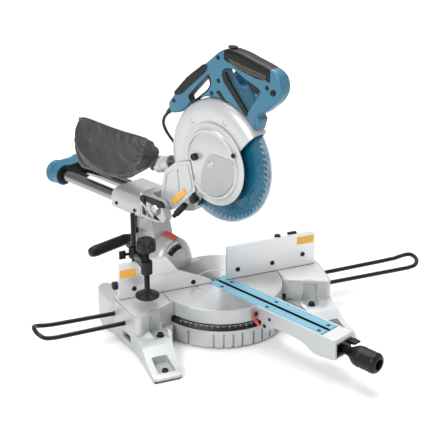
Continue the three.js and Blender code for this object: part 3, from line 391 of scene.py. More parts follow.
# milled skins on the side tables
for k, nm in ((-1, "left"), (1, "right")):
    f = (lambda p: p) if k < 0 else mx
    inner = [(-244, 1), (-229, -88), (-222, -92), (-152, -57), (-141, -51)] + [(-141, 3), (-150, 4), (-184, 13), (-200, 21), (-243, 21)]
    sk = prism(round_pts(f(inner), 4), 89.7, 90.25)
    sk = cut(sk, rod(V(0, 0, 80), V(0, 0, 100), 141.5, 128), rod(V(k * 181, -88, 80), V(k * 181, -88, 100), 21, 48))
    fin(sk, "table_skin_" + nm, M["milled"], "base", (), BASE, 0.1, 1)
# screws, bolts and inserts that show on the base
bits = []
for k in (-1, 1):
    bits += [turned(V(k * 203, -186, 9), V(k * 203, -186, 15), [(0, 0), (7, 0), (7, 3.4), (5.6, 5), (2.6, 5), (2.2, 3), (0, 3)], 40),
             turned(V(k * 181, -98, 41), V(k * 181, -98, 50), [(0, 0), (8.5, 0), (8.5, 1.4), (6.4, 1.6), (6.4, 6), (5.6, 7), (2.8, 7), (2.6, 4), (0, 4)], 40)]
for x, z in ((-204, 112), (-66, 101), (42, 112), (128, 112), (205, 120)):
    bits.append(turned(V(x, 0.3, z), V(x, -3, z), [(0, 0), (5.6, 0), (5.6, 1.2), (4.6, 2.6), (2.6, 2.7), (2.3, 1.4), (0, 1.4)], 32))
fin(pile(*bits), "base_bolts", M["satin"], "base", (), BASE, 0.2, 1)
for k, nm in ((-1, "left"), (1, "right")):
    fin(prism(round_pts([(k * 178, -211.5), (k * 234, -211.5), (k * 234, -202.5), (k * 178, -202.5)], 2), 0, 4), "foot_pad_" + nm, M["black"], "base", "front_foot_pad_" + nm, BASE, 0.6)
# sloping scale with its tick marks
sc = turned(V(0, 0, 0), V(0, 0, 1), [(129, 44.3), (148, 44.3), (148, 46), (139.6, 55), (129, 55), (129, 44.3)], 192)
sc = cut(sc, box(-160, 160, -38, 170, 40, 60))
fin(sc, "scale_band", M["black"], "base", "mitre_scale", BASE, 0.3, 1)
tk = []
for dg in range(-60, 61):
    t = math.radians(-90 + dg); L_ = 4.6 if dg % 15 == 0 else (3.2 if dg % 5 == 0 else 1.6)
    c_, s_ = math.cos(t), math.sin(t); w_ = 0.16 if dg % 5 else 0.3
    def q(rr, side_): 
        z = 46 + (148 - rr) * (9 / 8.4)
        return (rr * c_ - side_ * w_ * s_, rr * s_ + side_ * w_ * c_, z)
    lo_p = [Vector(q(140.2, -1)), Vector(q(140.2 + L_, -1)), Vector(q(140.2 + L_, 1)), Vector(q(140.2, 1))]
    nrm = Vector((c_ * 0.73, s_ * 0.73, 0.68))
    tk.append(extr([p - nrm * 0.1 for p in lo_p], [p + nrm * 0.12 for p in lo_p]))
fin(pile(*tk), "scale_ticks", M["white"], "base", (), BASE, 0)

# fences
fl = xz(round_pts([(-238, 90.3), (-18, 90.3), (-22, 96), (-38, 105.5), (-99.5, 134.6), (-238, 134.6)], 3), 0, 9)
fl = join(fl, box(-238, -150, 8, 20, 90.3, 96), box(-160, -152, 8, 14, 90.3, 130))
fl = join(fl, box(-120, -113, 8, 15, 90.4, 122), box(-70, -63, 8, 14, 90.4, 112))
fin(fl, "fence_left_face", M["milled"], "base", "fence_left", BASE, 0.8)
sl = xz(round_pts([(-238, 135), (-100.5, 135), (-126, 170.5), (-131, 173), (-233, 173), (-238, 169)], 3), 0, 9)
sl = join(sl, xz([(-225, 104), (-165, 104), (-165, 150), (-225, 150)], 9.3, 14), box(-225, -165, 8.5, 10, 136, 150))
sl = join(sl, box(-232, -140, 8.5, 12, 163, 169), box(-236, -229, 8.5, 12, 138, 168))
fin(sl, "sub_fence_left_face", M["milled"], "left_sub_fence", "sub_fence_left", BASE, 0.8)
sr = xz(round_pts([(16, 90.5), (237, 90.5), (237, 166), (232, 170.5), (20, 170.5), (16, 167)], 4), 0, 9)
sr = join(sr, box(24, 230, 8.5, 9.4, 160, 166))
fin(sr, "sub_fence_right_face", M["milled"], "right_sub_fence", "sub_fence_right", BASE, 0.8)
fin(pile(xz(round_pts([(-126, 138.5), (-232, 138.5), (-232, 165), (-143, 165)], 3)[::-1], -0.35, 0.3)), "label_fence_left", M["milled"], "left_sub_fence", (), BASE, 0.1, 1)
fin(xz(round_pts([(-236, 141), (-199, 141), (-199, 161), (-236, 161)], 2), -0.55, 0.2), "label_plate_left", M["label"], "left_sub_fence", (), BASE, 0.1, 1)
fin(xz(round_pts([(190, 146), (232, 146), (232, 165), (190, 165)], 2), -0.5, 0.2), "label_plate_right", M["label"], "right_sub_fence", (), BASE, 0.1, 1)
def lobed(p, q, r, L, n=6, depth=0.09, rim=1.5, bore=0.0):
    return turned(p, q, [(0, 0), (r - rim, 0), (r, rim), (r, L - rim), (r - rim, L), (r * 0.55, L), (r * 0.5, L - 1.2), (0, L - 1.2)], 96,
                  lambda t, rr, h: 1 - depth * (0.5 - 0.5 * math.cos(n * t)) if rr > r * 0.8 else 1)
fin(pile(rod(V(-214, 14.3, 120), V(-214, 24, 120), 4), lobed(V(-214, 20, 120), V(-214, 34, 120), 11.5, 14)), "fence_knob_left", M["black"], "left_sub_fence", "sub_fence_knob_left", BASE, 0.3, 1)
fin(pile(rod(V(205, 22.3, 112), V(205, 30, 112), 4), lobed(V(205, 27, 112), V(205, 40, 112), 12.5, 13)), "fence_knob_right", M["black"], "right_sub_fence", "sub_fence_knob_right", BASE, 0.3, 1)

# painted shadow: a near-black strip along the foot of both fences stands in for the shadowed gap between fence and
# table
fin(pile(box(-237, -20, -0.4, 8.6, 90.2, 91.1), box(17, 236, -0.4, 8.6, 90.2, 91.3)), "fence_gap_painted_shadow", M["hole"], "base", (), BASE, 0)
fin(pile(lobed(V(-236, 16, 119), V(-250, 16, 119), 9.5, 12), rod(V(-232, 16, 119), V(-240, 16, 119), 3.5, 24)), "fence_end_knob", M["black"], "left_sub_fence", (), BASE, 0)
fin(pile(rod(V(146, 13, 150), V(146, 13, 172), 3.2, 24), lobed(V(146, 13, 166), V(146, 13, 174), 7.5, 8), rod(V(184, 16, 150), V(184, 16, 169), 4, 24), box(174, 195, 12, 20, 166, 173)), "fence_top_stops", M["black"], "right_sub_fence", (), BASE, 0.5, 1)
# wire work holders
def holder(k, tip, name, body):
    y0, y1, X, b = -38, 12, k * tip, 14 * k
    pts = [V(k * 158, y0, 54), V(k * 240, y0, 54), V(X - 4 * b, y0 - 3, 54), V(X - 2 * b, y0 - 4, 55), V(X - 0.8 * b, y0 - 3, 58), V(X, y0 + 8, 64), V(X + 0.2 * b, (y0 + y1) / 2, 66), V(X, y1 - 8, 64),
           V(X - 0.8 * b, y1 + 3, 58), V(X - 2 * b, y1 + 4, 55), V(X - 4 * b, y1 + 3, 54), V(k * 240, y1, 54), V(k * 158, y1, 54)]
    fin(tube(catmull(pts, 10), 4.85, 5), name + "_wire", M["satin"], body, name, BASE, 0)
holder(-1, 428, "work_holder_left", "left_holder"); holder(1, 498, "work_holder_right", "right_holder")

# vise
VX, VY, SX, SY = -192, 31, -189, -44
vr = pile(rod(V(VX, VY, 60), V(VX, VY, 276), 5.5, 48, ch=1.2), turned(V(VX, VY, 90.3), V(VX, VY, 104), [(5.6, 0), (11.5, 0), (11.5, 6), (9, 9.5), (5.6, 10.5), (5.6, 0)], 48))
fin(vr, "vise_post", M["satin"], "base", "vise_rod", BASE, 0.2, 1)
va = join(rod(V(VX, VY, 172), V(VX, VY, 198), 11.5, 64, ch=1.2), xz([(SX - 9, 176), (SX + 7, 176), (SX + 6, 194), (SX - 8, 194)], SY, VY), rod(V(SX, SY, 166), V(SX, SY, 196), 12.5, 64, ch=1.5))
va = cut(va, rod(V(VX, VY, 150), V(VX, VY, 220), 5.85, 48), rod(V(SX, SY, 150), V(SX, SY, 220), 6.35, 48), box(SX - 5, SX + 3, SY + 16, VY - 16, 190, 200))
va = join(va, rod(V(VX - 20, VY, 182), V(VX - 9, VY, 182), 3.4, 24), prism(round_pts([(VX - 34, VY - 2.5), (VX - 19, VY - 2.5), (VX - 19, VY + 2.5), (VX - 34, VY + 2.5)], 2), 173, 191))
fin(va, "vise_bracket", M["satin"], "vise_clamp", "vise_arm", BASE, 0.9)
thread = turned(V(SX, SY, 128), V(SX, SY, 214), [(0, 0)] + [(5.9 if i % 2 else 5.1, 0.4 + i * 0.85) for i in range(100)] + [(0, 85.6)], 32)
knob = turned(V(SX, SY, 214.3), V(SX, SY, 247), [(0, 0), (10, 0), (12, 3), (19.5, 6), (21.5, 9), (21.8, 24), (20, 29), (15, 32.6), (8, 32.6), (7, 31), (0, 31)], 120, lambda t, r, h: 1 - 0.1 * (0.5 - 0.5 * math.cos(8 * t)) ** 2 if r > 15 else 1)
fin(pile(thread, knob), "vise_screw_knob", M["black"], "vise_screw", "vise_feed_screw", BASE, 0)
fin(turned(V(SX, SY, 112), V(SX, SY, 130), [(0, 0), (24.6, 0), (26, 1.2), (26, 4), (24, 5.4), (13, 7.5), (11, 9), (10, 13), (0, 13)], 72), "vise_foot", M["black"], "vise_screw", "vise_pad", BASE, 0)

# ================================================================== TURNTABLE
armSide = [(120, 89.9), (352, 89.9), (356, 86), (356, 48), (345, 44.5), (318, 41), (300, 41), (288, 45), (276, 51.5), (262, 56), (238, 58), (215, 57), (176, 57), (172, 42), (152, 42), (152, 60), (120, 60)]
disc = turned(V(0, 0, 0), V(0, 0, 1), [(0, 66), (118, 66), (118, 56), (138, 56), (139, 57), (139, 88.9), (137.9, 90), (61.4, 90), (60.8, 89.3), (57.6, 89.3), (57, 90), (0, 90)], 192)
tt = join(disc, side(armSide, -30, 30))
tt = cut(tt, side([(-14, 84), (317, 84), (317, 95), (-14, 95)], -26.4, 26.4), side([(-8, 70), (308, 70), (308, 90), (-8, 90)], -11, 11),
         side([(300, 44), (316, 44), (316, 46), (357, 51), (357, 82), (300, 80)], -25, 31), rod(V(0, 0, 50), V(0, 0, 84), 8, 32))
hubp = [(0, 0), (7, 0.3), (12, 1), (17, 2.8), (22, 5.5), (29, 11.2), (36, 18), (43, 26.4), (49, 34), (51.4, 37.2), (53, 41), (54.4, 45), (55, 50), (55, 75), (0, 75)]
tt = join(tt, turned(P(-112, 0, 90), P(-187, 0, 90), hubp, 120), front([(-14, 8), (14, 8), (18, 40), (-18, 40)], -187, -162))
# an empty loop over three offsets; it makes no ribs
for n_ in (-40, 0, 40):
    pass
tt = cut(tt, rod(P(-130, 0, 90), P(-190, 0, 90), 13, 48))
fin(tt, "turntable_body", M["cast"], "turntable_set", "turntable", ARM, 0.9)
# turned face of the table, arm rims and the machined floor of the arm
sk = ring(V(0, 0, 89.8), V(0, 0, 90.22), 61.6, 137.6, 192)
sk = cut(sk, side([(-14.4, 80), (330, 80), (330, 95), (-14.4, 95)], -26.8, 26.8), rod(P(-114, 0, 90), P(-187, 0, 90), 50, 64))
sk2 = rod(V(0, 0, 89.8), V(0, 0, 90.22), 56.8, 128)
sk2 = cut(sk2, side([(-14.4, 80), (330, 80), (330, 95), (-14.4, 95)], -26.8, 26.8))
fin(pile(sk, sk2), "table_face", M["table"], "turntable_set", (), ARM, 0.12, 1)
rims = []
for s_ in (-1, 1):
    lo, hi = sorted((s_ * 26.8, s_ * 29.6))
    rims.append(side([(139, 89.8), (351, 89.8), (351, 90.25), (139, 90.25)], lo, hi))
rims.append(side([(317.4, 89.8), (351, 89.8), (351, 90.25), (317.4, 90.25)], -26.6, 26.6))
fin(pile(*rims), "arm_rims", M["milled"], "turntable_set", (), ARM, 0.12, 1)
for nm, a0, a1 in (("left", -26, -4.6), ("right", 4.6, 26)):
    k = side([(-12, 84.4), (-12, 90), (314, 90), (314, 84.4)], a0, a1)
    mid = (a0 + a1) / 2
    grooves = pile(*[side([(-11, 89.2), (313, 89.2), (313, 91), (-11, 91)], mid + o_ - 0.45, mid + o_ + 0.45) for o_ in (-6.4, -3.2, 3.2, 6.4)])
    holes = pile(*[rod(P(d_, mid, 87.6), P(d_, mid, 92), 4.6, 32) for d_ in (20, 155, 300)])
    k = cut(k, grooves, holes)
    fin(k, "kerf_strip_" + nm, M["pale"], "turntable_set", "kerf_board_" + nm, ARM, 0.35, 1)
    fin(pile(*[turned(P(d_, mid, 87.6), P(d_, mid, 90), [(0, 0), (4.2, 0), (4.2, 0.8), (2.8, 2.0), (1.6, 2.0), (1.4, 1.0), (0, 1.0)], 32) for d_ in (20, 155, 300)]), "kerf_screws_" + nm, M["satin"], "turntable_set", (), ARM, 0)
# painted shade: near-black sheets on the floor and walls of the kerf slot stand in for the shade down in the slot
fin(pile(side([(-8, 70.2), (308, 70.2), (308, 71), (-8, 71)], -10.8, 10.8), side([(-11, 84.6), (313, 84.6), (313, 89.5), (-11, 89.5)], -4.9, -4.55), side([(-11, 84.6), (313, 84.6), (313, 89.5), (-11, 89.5)], 4.55, 4.9)), "slot_painted_shade", M["hole"], "turntable_set", (), ARM, 0)
fin(side(round_pts([(140, 58), (152, 50), (153, 51), (141.5, 60), (141.5, 82), (139.4, 82), (139.4, 58)], 0.5, 2), -40, -32.4), "mitre_mark", M["red"], "turntable_set", "mitre_pointer", ARM, 0.3, 1)
fin(turned(P(141.4, -36.2, 75), P(146, -36.2, 75), [(0, 0), (5, 0), (5, 1.6), (3.8, 3), (1.8, 3), (1.6, 1.8), (0, 1.8)], 32), "mark_screw", M["satin"], "turntable_set", (), ARM, 0)
bs = meet(turned(P(-105, 0, 90), P(-187, 0, 90), [(37.4, 25.6), (38.8, 25.6), (50.8, 40.4), (49.4, 40.4), (37.4, 25.6)], 160), front([(0, 90), (-62, 150), (8, 150)], -190, -100))
fin(bs, "bevel_arc", M["black"], "turntable_set", "bevel_scale", ARM, 0.2, 1)
tk = []
for dg in range(-45, 6):
    t = math.radians(dg); L_ = 7.5 if dg % 15 == 0 else (5.5 if dg % 5 == 0 else 3.0); w_ = math.radians(0.3 if dg % 5 else 0.5)
    def q(h, tt_, o_):
        rr = 38.8 + (h - 25.6) * 12 / 14.8 + o_; return P(-105 - h, rr * math.sin(tt_), 90 + rr * math.cos(tt_))
    h0 = 39.4
    tk.append(extr([q(h0, t - w_, -0.1), q(h0, t + w_, -0.1), q(h0 - L_, t + w_, -0.1), q(h0 - L_, t - w_, -0.1)], [q(h0, t - w_, 0.3), q(h0, t + w_, 0.3), q(h0 - L_, t + w_, 0.3), q(h0 - L_, t - w_, 0.3)]))
fin(pile(*tk), "bevel_ticks", M["white"], "turntable_set", (), ARM, 0)
fi = side(round_pts([(332, 51), (352, 53.5), (352, 80), (332, 78)], 2, 3), -24.5, 27)
fi = cut(fi, side([(346, 56), (360, 57), (360, 76), (346, 74)], -20, -2))
fin(fi, "front_block", M["black"], "turntable_set", "front_insert", ARM, 0.8)
gp = [(0, 0), (9, 0), (9.2, 12), (10.4, 18), (13.5, 25), (18, 31), (21, 37), (22.5, 45)] + [(22.5 - (1.3 if i % 2 else 0), 50 + i * 3.4) for i in range(9)] + [(22.5, 81), (21.6, 85), (19, 88.6), (15.5, 90.6), (12, 91), (11.4, 90), (11, 78), (0, 78)]
gr = turned(P(352.4, 0, 62), P(450, 0, 62), gp, 96, lambda t, r, h: 1 - 0.03 * (0.5 - 0.5 * math.cos(8 * t)) if 44 < h < 84 and r > 15 else 1)
fin(gr, "mitre_handle", M["grip"], "mitre_lock", "mitre_grip", ARM, 0, ang=60)
fin(side(round_pts([(352.6, 73), (364, 73.5), (377, 76.5), (377, 80), (364, 80.4), (352.6, 79.5)], 1.6, 3), 8, 25), "detent_paddle", M["black"], "detent", "detent_lever", ARM, 0.9)
fin(turned(P(-140, 0, 90), P(-258, 0, 90), [(0, 0), (12.6, 0), (12.6, 116.5), (11.4, 118), (0, 118)], 64), "pivot_shaft", M["steel"], "turntable_set", "bevel_pivot_shaft", ARM, 0)
# two small bolt heads on the side of the arm
fin(pile(turned(P(162, -30.2, 51), P(162, -33, 51), [(0, 0), (4.6, 0), (4.6, 1.2), (3.4, 2.4), (0, 2.4)], 32), turned(P(176, -30.2, 72), P(176, -32.4, 72), [(0, 0), (3.4, 0), (3.4, 1.2), (0, 1.8)], 24)), "arm_bolts", M["satin"], "turntable_set", (), ARM, 0)

# ================================================================== COLUMN
co = turned(P(-187.4, 0, 90), P(-206, 0, 90), [(0, 0), (55, 0), (56, 1), (56, 14), (54, 16.6), (50, 18.6), (0, 18.6)], 120)
co = join(co, side(round_pts([(-187.8, 100), (-187.8, 146), (-200, 190), (-204, 215), (-257, 215), (-257, 112), (-244, 78), (-205, 62)], 8), -28, 28))
bb = front(round_pts([(-50, 196), (50, 196), (57, 204), (57, 226), (52, 238), (40, 245), (-40, 245), (-52, 238), (-57, 226), (-57, 204)], 14, 8), -305, -203)
co = join(co, bb)
pk = []
for s_ in (-1, 1):
    lo, hi = sorted((s_ * 23, s_ * 32))
    pk += [side(round_pts([(-250, 150), (-214, 150), (-218, 186), (-250, 186)], 5), lo, hi), side(round_pts([(-248, 116), (-212, 116), (-212, 143), (-250, 143)], 5), lo, hi)]
co = cut(co, pile(*pk))
co = cut(co, pile(*[rod(P(-320, s_ * 33, 216), P(-190, s_ * 33, 216), 14.35, 64) for s_ in (-1, 1)]), rod(P(-180, 0, 90), P(-262, 0, 90), 13.4, 48))
fin(co, "tilting_column", M["cast"], "column", "bevel_column", ARM, 1.0)
fin(pile(*[ring(P(-305.9, s_ * 33, 216), P(-304.6, s_ * 33, 216), 14.2, 18.5, 64) for s_ in (-1, 1)] + [turned(P(d_, -57, 214), P(d_, -60, 214), [(0, 0), (4.4, 0), (4.4, 1.6), (3.2, 2.8), (1.6, 2.8), (1.5, 1.6), (0, 1.6)], 32) for d_ in (-222, -286)]), "bearing_trim", M["satin"], "column", (), ARM, 0.2, 1)
fin(side(round_pts([(-187.4, 147), (-187.4, 151.5), (-165, 151), (-147, 148.5), (-147, 147), (-165, 147.5)], 0.6, 2), -4, 11), "bevel_mark", M["red"], "column", "bevel_pointer", ARM, 0.3, 1)
bl = pile(rod(P(-258.4, 0, 124), P(-276, 0, 124), 15, 64, ch=1.4), rod(P(-267, -8, 124), P(-267, -40, 124), 8.5, 48),
          turned(P(-267, -36, 124), P(-267, -158, 124), [(0, 0), (9, 0), (11, 6), (12.5, 12)] + [(13.6 - (1.1 if i % 2 else 0), 20 + i * 4.4) for i in range(19)] + [(13.2, 106), (12, 114), (10, 119.6), (6, 121.8), (0, 122)], 72))
fin(bl, "bevel_handle", M["grip"], "bevel_lock", "bevel_lever", ARM, 0, ang=60)

# ================================================================== CARRIAGE
for nm, s_ in (("left", -1), ("right", 1)):
    fin(turned(P(-540, s_ * 33, 216), P(-183, s_ * 33, 216), [(0, 0), (14, 0), (14, 356), (13, 357), (0, 357)], 96), "pole_" + nm, M["chrome"], "carriage", "slide_pole_" + nm, ARM, 0)
def dumb(r): return circle(-33, 216, r, 60, 300, 40) + circle(33, 216, r, -120, 120, 40)
ci = cut(front(dumb(27), -540, -512), pile(*[rod(P(-541, s_ * 33, 216), P(-500, s_ * 33, 216), 14.3, 64) for s_ in (-1, 1)]))
ci = join(ci, cut(front(dumb(28.2), -538, -532), pile(*[rod(P(-541, s_ * 33, 216), P(-500, s_ * 33, 216), 14.3, 64) for s_ in (-1, 1)])))
fin(ci, "pole_cap_body", M["blue"], "carriage", "pole_end_cap", ARM, 1.4, 3)
fin(front(dumb(29), -556, -540.4), "pole_cap_cover", M["blue"], "carriage", "pole_end_cover", ARM, 7.0, 6)
fin(cut(front(dumb(23), -513, -509.2), pile(*[rod(P(-541, s_ * 33, 216), P(-500, s_ * 33, 216), 14.3, 64) for s_ in (-1, 1)])), "pole_cap_face", M["black"], "carriage", (), ARM, 1.2, 2)
carS = [(-201.5, 206), (-150, 206), (-122, 214), (-116, 226), (-122, 238), (-128, 250), (-136, 258), (-150, 260.5), (-164, 258), (-176, 262), (-201.5, 266)]
ca = side(round_pts(carS, 4), -57, 57)
ca = cut(ca, side([(-181, 196), (-100, 196), (-100, 300), (-181, 300)], -37.5, 37.5))
pk = []
for s_ in (-1, 1):
    lo, hi = sorted((s_ * 52, s_ * 58))
    for t in ([(-196, 212), (-181, 212), (-181, 228), (-196, 236)], [(-177, 212), (-163, 212), (-177, 227)], [(-196, 242), (-181, 234), (-181, 258), (-196, 260)], [(-159, 211), (-133, 213), (-150, 224), (-159, 222)]):
        pk.append(side(round_pts(t, 2.4, 3), lo, hi))
ca = cut(ca, pile(*pk), pile(*[rod(P(-206, s_ * 33, 216), P(-182.6, s_ * 33, 216), 14.3, 64) for s_ in (-1, 1)]), rod(P(-150, -60, 240), P(-150, 60, 240), 8.3, 48))
fin(ca, "carriage_body", M["cast"], "carriage", "slide_carriage", ARM, 0.9)
fin(pile(*[ring(P(-150, s_ * 57, 240), P(-150, s_ * 58.6, 240), 8.6, 17, 72) for s_ in (-1, 1)]), "hinge_rings", M["cast_dark"], "carriage", (), ARM, 0.4, 1)
fin(pile(rod(P(-150, -59, 240), P(-150, 59, 240), 8, 48, ch=1), *[turned(P(-150, s_ * 58.6, 240), P(-150, s_ * 62, 240), [(0, 0), (12, 0), (12, 1.4), (9.5, 3.2), (4.6, 3.2), (4.2, 1.4), (0, 1.4)], 6) for s_ in (-1, 1)]), "hinge_bolt", M["steel"], "carriage", "hinge_pin", ARM, 0.3, 1)

lv = join(side(round_pts([(-199, 255), (-181, 263), (-122, 264), (-116, 252), (-136, 247), (-178, 250), (-199, 246)], 4), -60.5, -57.2), rod(P(-188, -57, 254), P(-188, -63, 254), 8.5, 48, ch=1), rod(P(-128, -57, 256), P(-128, -62, 256), 6.5, 48, ch=1))
fin(lv, "carriage_lever", M["black"], "carriage", (), ARM, 0.7, 2)
# painted shade: near-black sheets on the pocket floors stand in for the shade inside the carriage's side pockets
pocket_shade_sheets = []
for t in ([(-197, 211), (-180, 211), (-180, 229), (-197, 237)], [(-178, 211), (-162, 211), (-178, 228)], [(-197, 241), (-180, 233), (-180, 259), (-197, 261)], [(-160, 210), (-132, 212), (-149, 225), (-160, 223)]):
    pocket_shade_sheets.append(side(t, -52.6, -51.6)); pocket_shade_sheets.append(side(t, 51.6, 52.6))
fin(pile(*pocket_shade_sheets), "carriage_pocket_painted_shade", M["hole"], "carriage", (), ARM, 0)
fin(pile(rod(P(-229, -48, 206), P(-231, -48, 164), 2.6, 32), turned(P(-231, -48, 167), P(-231, -48, 151), [(0, 0)] + [(8 * math.sin(i / 12 * pi), 8 - 8 * math.cos(i / 12 * pi)) for i in range(1, 12)] + [(0, 16)], 48)), "tilt_stop_rod", M["satin"], "column", (), ARM, 0)

# ================================================================== HEAD
C = (5, 380)
def ax(n): return P(C[0], n, C[1])
hd = rod(P(-150, -37, 240), P(-150, 37, 240), 17, 72)
hd = join(hd, side(round_pts([(-158, 254), (-134, 231), (-108, 249), (-62, 290), (-44, 306), (-60, 372), (-106, 356), (-140, 330)], 6), -34.3, -28.3),
          side(round_pts([(-158, 254), (-134, 231), (-112, 246), (-118, 300), (-142, 330), (-150, 300)], 6), -34, 34),
          side(round_pts([(-158, 254), (-134, 231), (-108, 249), (-70, 284), (-60, 330), (-106, 356), (-140, 330)], 6), 20, 34))
hd = cut(hd, rod(P(-150, -60, 240), P(-150, 60, 240), 8.3, 48), rod(P(5, -28, 380), P(5, 21, 380), 140.3, 128), rod(P(-120, -12, 349.8), P(-196, -12, 318), 17.9, 48))
hd = join(hd, rod(P(-128, 27, 326), P(-139, 27, 341), 7, 32, ch=0.8))
# raised frame of ribs round the arm's left face
rib = side(round_pts([(-152, 258), (-134, 238), (-109, 256), (-68, 293), (-52, 310), (-66, 362), (-104, 348), (-136, 326)], 6), -36.2, -34.0)
rib = cut(rib, side([(-125, 266), (-79, 309), (-64, 293), (-109, 250)], -40, -30), side(round_pts([(-146, 262), (-134, 246), (-112, 262), (-98, 276), (-108, 340), (-134, 322)], 5), -40, -30), side(round_pts([(-93, 280), (-72, 297), (-60, 312), (-71, 354), (-100, 343)], 5), -40, -30))
hd = join(hd, rib)
fin(hd, "head_arm_body", M["silver"], "head", "head_arm", ARM, 0.9)
fin(side(round_pts([(-121, 263), (-81, 302), (-72, 293), (-108, 257)], 2), -36.9, -34.2), "label_arm", M["label"], "head", (), ARM, 0.1, 1)
fin(pile(turned(P(-44, -30, 288), P(-44, -47, 288), [(0, 0), (7.5, 0), (7.5, 4), (9.2, 6), (9.2, 14), (7.6, 16.4), (0, 17)], 48), rod(P(-53, -30, 297), P(-44, -38, 289), 4.5, 32)), "head_bumper", M["black"], "head", (), ARM, 0.2, 1)
# upper guard, spun shell with a soft shoulder
cc_, ss_ = math.sin(math.radians(50)), math.cos(math.radians(50))
def opened(off):
    q = (C[0] + cc_ * off, C[1] - ss_ * off); gx, gz = ss_, cc_
    return [(q[0] - gx * 300, q[1] - gz * 300), (q[0] - gx * 300 + cc_ * 400, q[1] - gz * 300 - ss_ * 400), (q[0] + gx * 300 + cc_ * 400, q[1] + gz * 300 - ss_ * 400), (q[0] + gx * 300, q[1] + gz * 300)]
def shoulder(r0, r1, h, k=10):
    return [(r0 + (r1 - r0) * math.sin(i / k * pi / 2), h * (1 - math.cos(i / k * pi / 2))) for i in range(k + 1)]
outer = [(0, 0), (88, 0), (90, 1.0), (94, 1.0), (96, 0)] + shoulder(108, 139, 20) + [(139, 45), (0, 45)]
gd = cut(turned(ax(-28), ax(30), outer, 192), turned(ax(-25.2), ax(30), [(0, 0)] + shoulder(106, 136.4, 17) + [(136.4, 39), (0, 39)], 192))
gd = cut(gd, side(opened(28), -60, 60), rod(ax(-60), ax(60), 42, 64))
fin(gd, "guard_shell", M["silver"], "head", "upper_guard", ARM, 0.9, 3)
cvp = [(0, 0), (64, 0), (66, 1.2), (69, 1.3), (71, -1.9), (75.5, -1.9), (77.5, 1.0), (78.5, 3.4), (80, 4.2), (88.4, 4.2), (91, 4.9), (91, 6.6), (0, 6.6)]
cv = turned(ax(-35), ax(-20), cvp, 160)
cv = cut(cv, side([(-170, 240), (-134, 222), (-100, 240), (-57, 287), (-39, 303), (-56, 377), (-106, 362), (-160, 345)], -50, -20))
fin(cv, "centre_disc", M["silver"], "head", "centre_cover", ARM, 0.5)
fin(side(round_pts([(-23.6, 319.7), (-25, 337.9), (-21, 362), (-10.2, 388.7), (3.4, 403.5), (16.8, 406.4), (65.7, 406.4), (78.2, 389.3), (76.8, 366.6), (65.2, 347.3), (46.5, 326.4), (25.7, 313.2), (3.1, 309.4), (-10.6, 312.8)], 7, 4), -36.5, -34.8), "disc_plate", M["plate"], "head", (), ARM, 0.7, 2)
fin(turned(P(70.4, -35, 417.5), P(70.4, -39.4, 417.5), [(0, 0), (5.4, 0), (5.4, 1.4), (4.2, 3), (2, 3.2), (1.8, 2), (0, 2)], 40), "disc_side_bolt", M["black"], "head", (), ARM, 0)
fin(turned(ax(-40), ax(-35.2), [(0, 0), (4, 0), (4.2, 1.4), (6.4, 1.4), (8, 2.8), (8, 4.8), (0, 4.8)][::1], 48), "disc_bolt", M["steel"], "head", "cover_bolt", ARM, 0.2, 1)
fin(lobed(P(-40, -35.3, 388), P(-40, -46, 388), 8, 10.5, 12, 0.12, 1.2), "disc_thumb_bolt", M["black"], "head", "cover_thumb_bolt", ARM, 0.2, 1)
fin(pile(*[turned(P(C[0] + 103 * math.cos(t), -28, C[1] + 103 * math.sin(t)), P(C[0] + 103 * math.cos(t), -30.6, C[1] + 103 * math.sin(t)), [(0, 0), (4.4, 0), (4.4, 1.0), (3, 2.2), (1.5, 2.2), (1.3, 1.2), (0, 1.2)], 32) for t in (math.radians(72), math.radians(128))]), "guard_screws", M["steel"], "head", (), ARM, 0)
# gear case and motor
gc = join(rod(ax(17.4), ax(48), 40, 96), side(round_pts([(-10, 400), (-26, 480), (-16, 540), (50, 548), (66, 500), (50, 380)], 10), 17.4, 44))
fin(gc, "gear_case_body", M["blue"], "head", "gear_case", ARM, 2.0, 3)
mo = turned(P(28, 44.4, 538), P(28, 112, 538), [(0, 0), (40, 0), (43, 2), (45, 7), (45.6, 14), (46, 20), (46, 46), (45, 52), (42.6, 59), (39, 64.4), (34, 67.6), (0, 67.6)], 128)
vs = []
for i in range(18):
    t = 2 * pi * i / 18
    o = box(-1.3, 1.3, -11, 11, -3, 3); o.data.transform(Matrix.Translation(P(28 + 46 * math.cos(t), 96, 538 + 46 * math.sin(t))) @ Matrix.Rotation(-math.atan2(math.cos(t), math.sin(t)), 4, 'X').to_4x4() @ Matrix.Rotation(pi / 2, 4, 'Z')); vs.append(o)
vs.append(pile(*[side([(28 - 24 + i * 8 - 1.4, 518), (28 - 24 + i * 8 + 1.4, 518), (28 - 24 + i * 8 + 1.4, 558), (28 - 24 + i * 8 - 1.4, 558)], 108, 120) for i in range(7)]))
mo = cut(mo, pile(*vs[:18]), vs[18])
fin(mo, "motor_shell", M["blue"], "head", "motor_housing", ARM, 0.8)
fin(pile(ring(P(28, 60, 538), P(28, 63, 538), 44, 46.7, 128), rod(P(66, 90, 560), P(75, 90, 566), 8, 48, ch=1)), "motor_band", M["black"], "head", (), ARM, 0.3, 1)
fin(side(round_pts([(30, 520), (58, 514), (64, 534), (38, 548)], 4), 43.2, 44.6), "motor_plate", M["label_b"], "head", (), ARM, 0.1, 1)
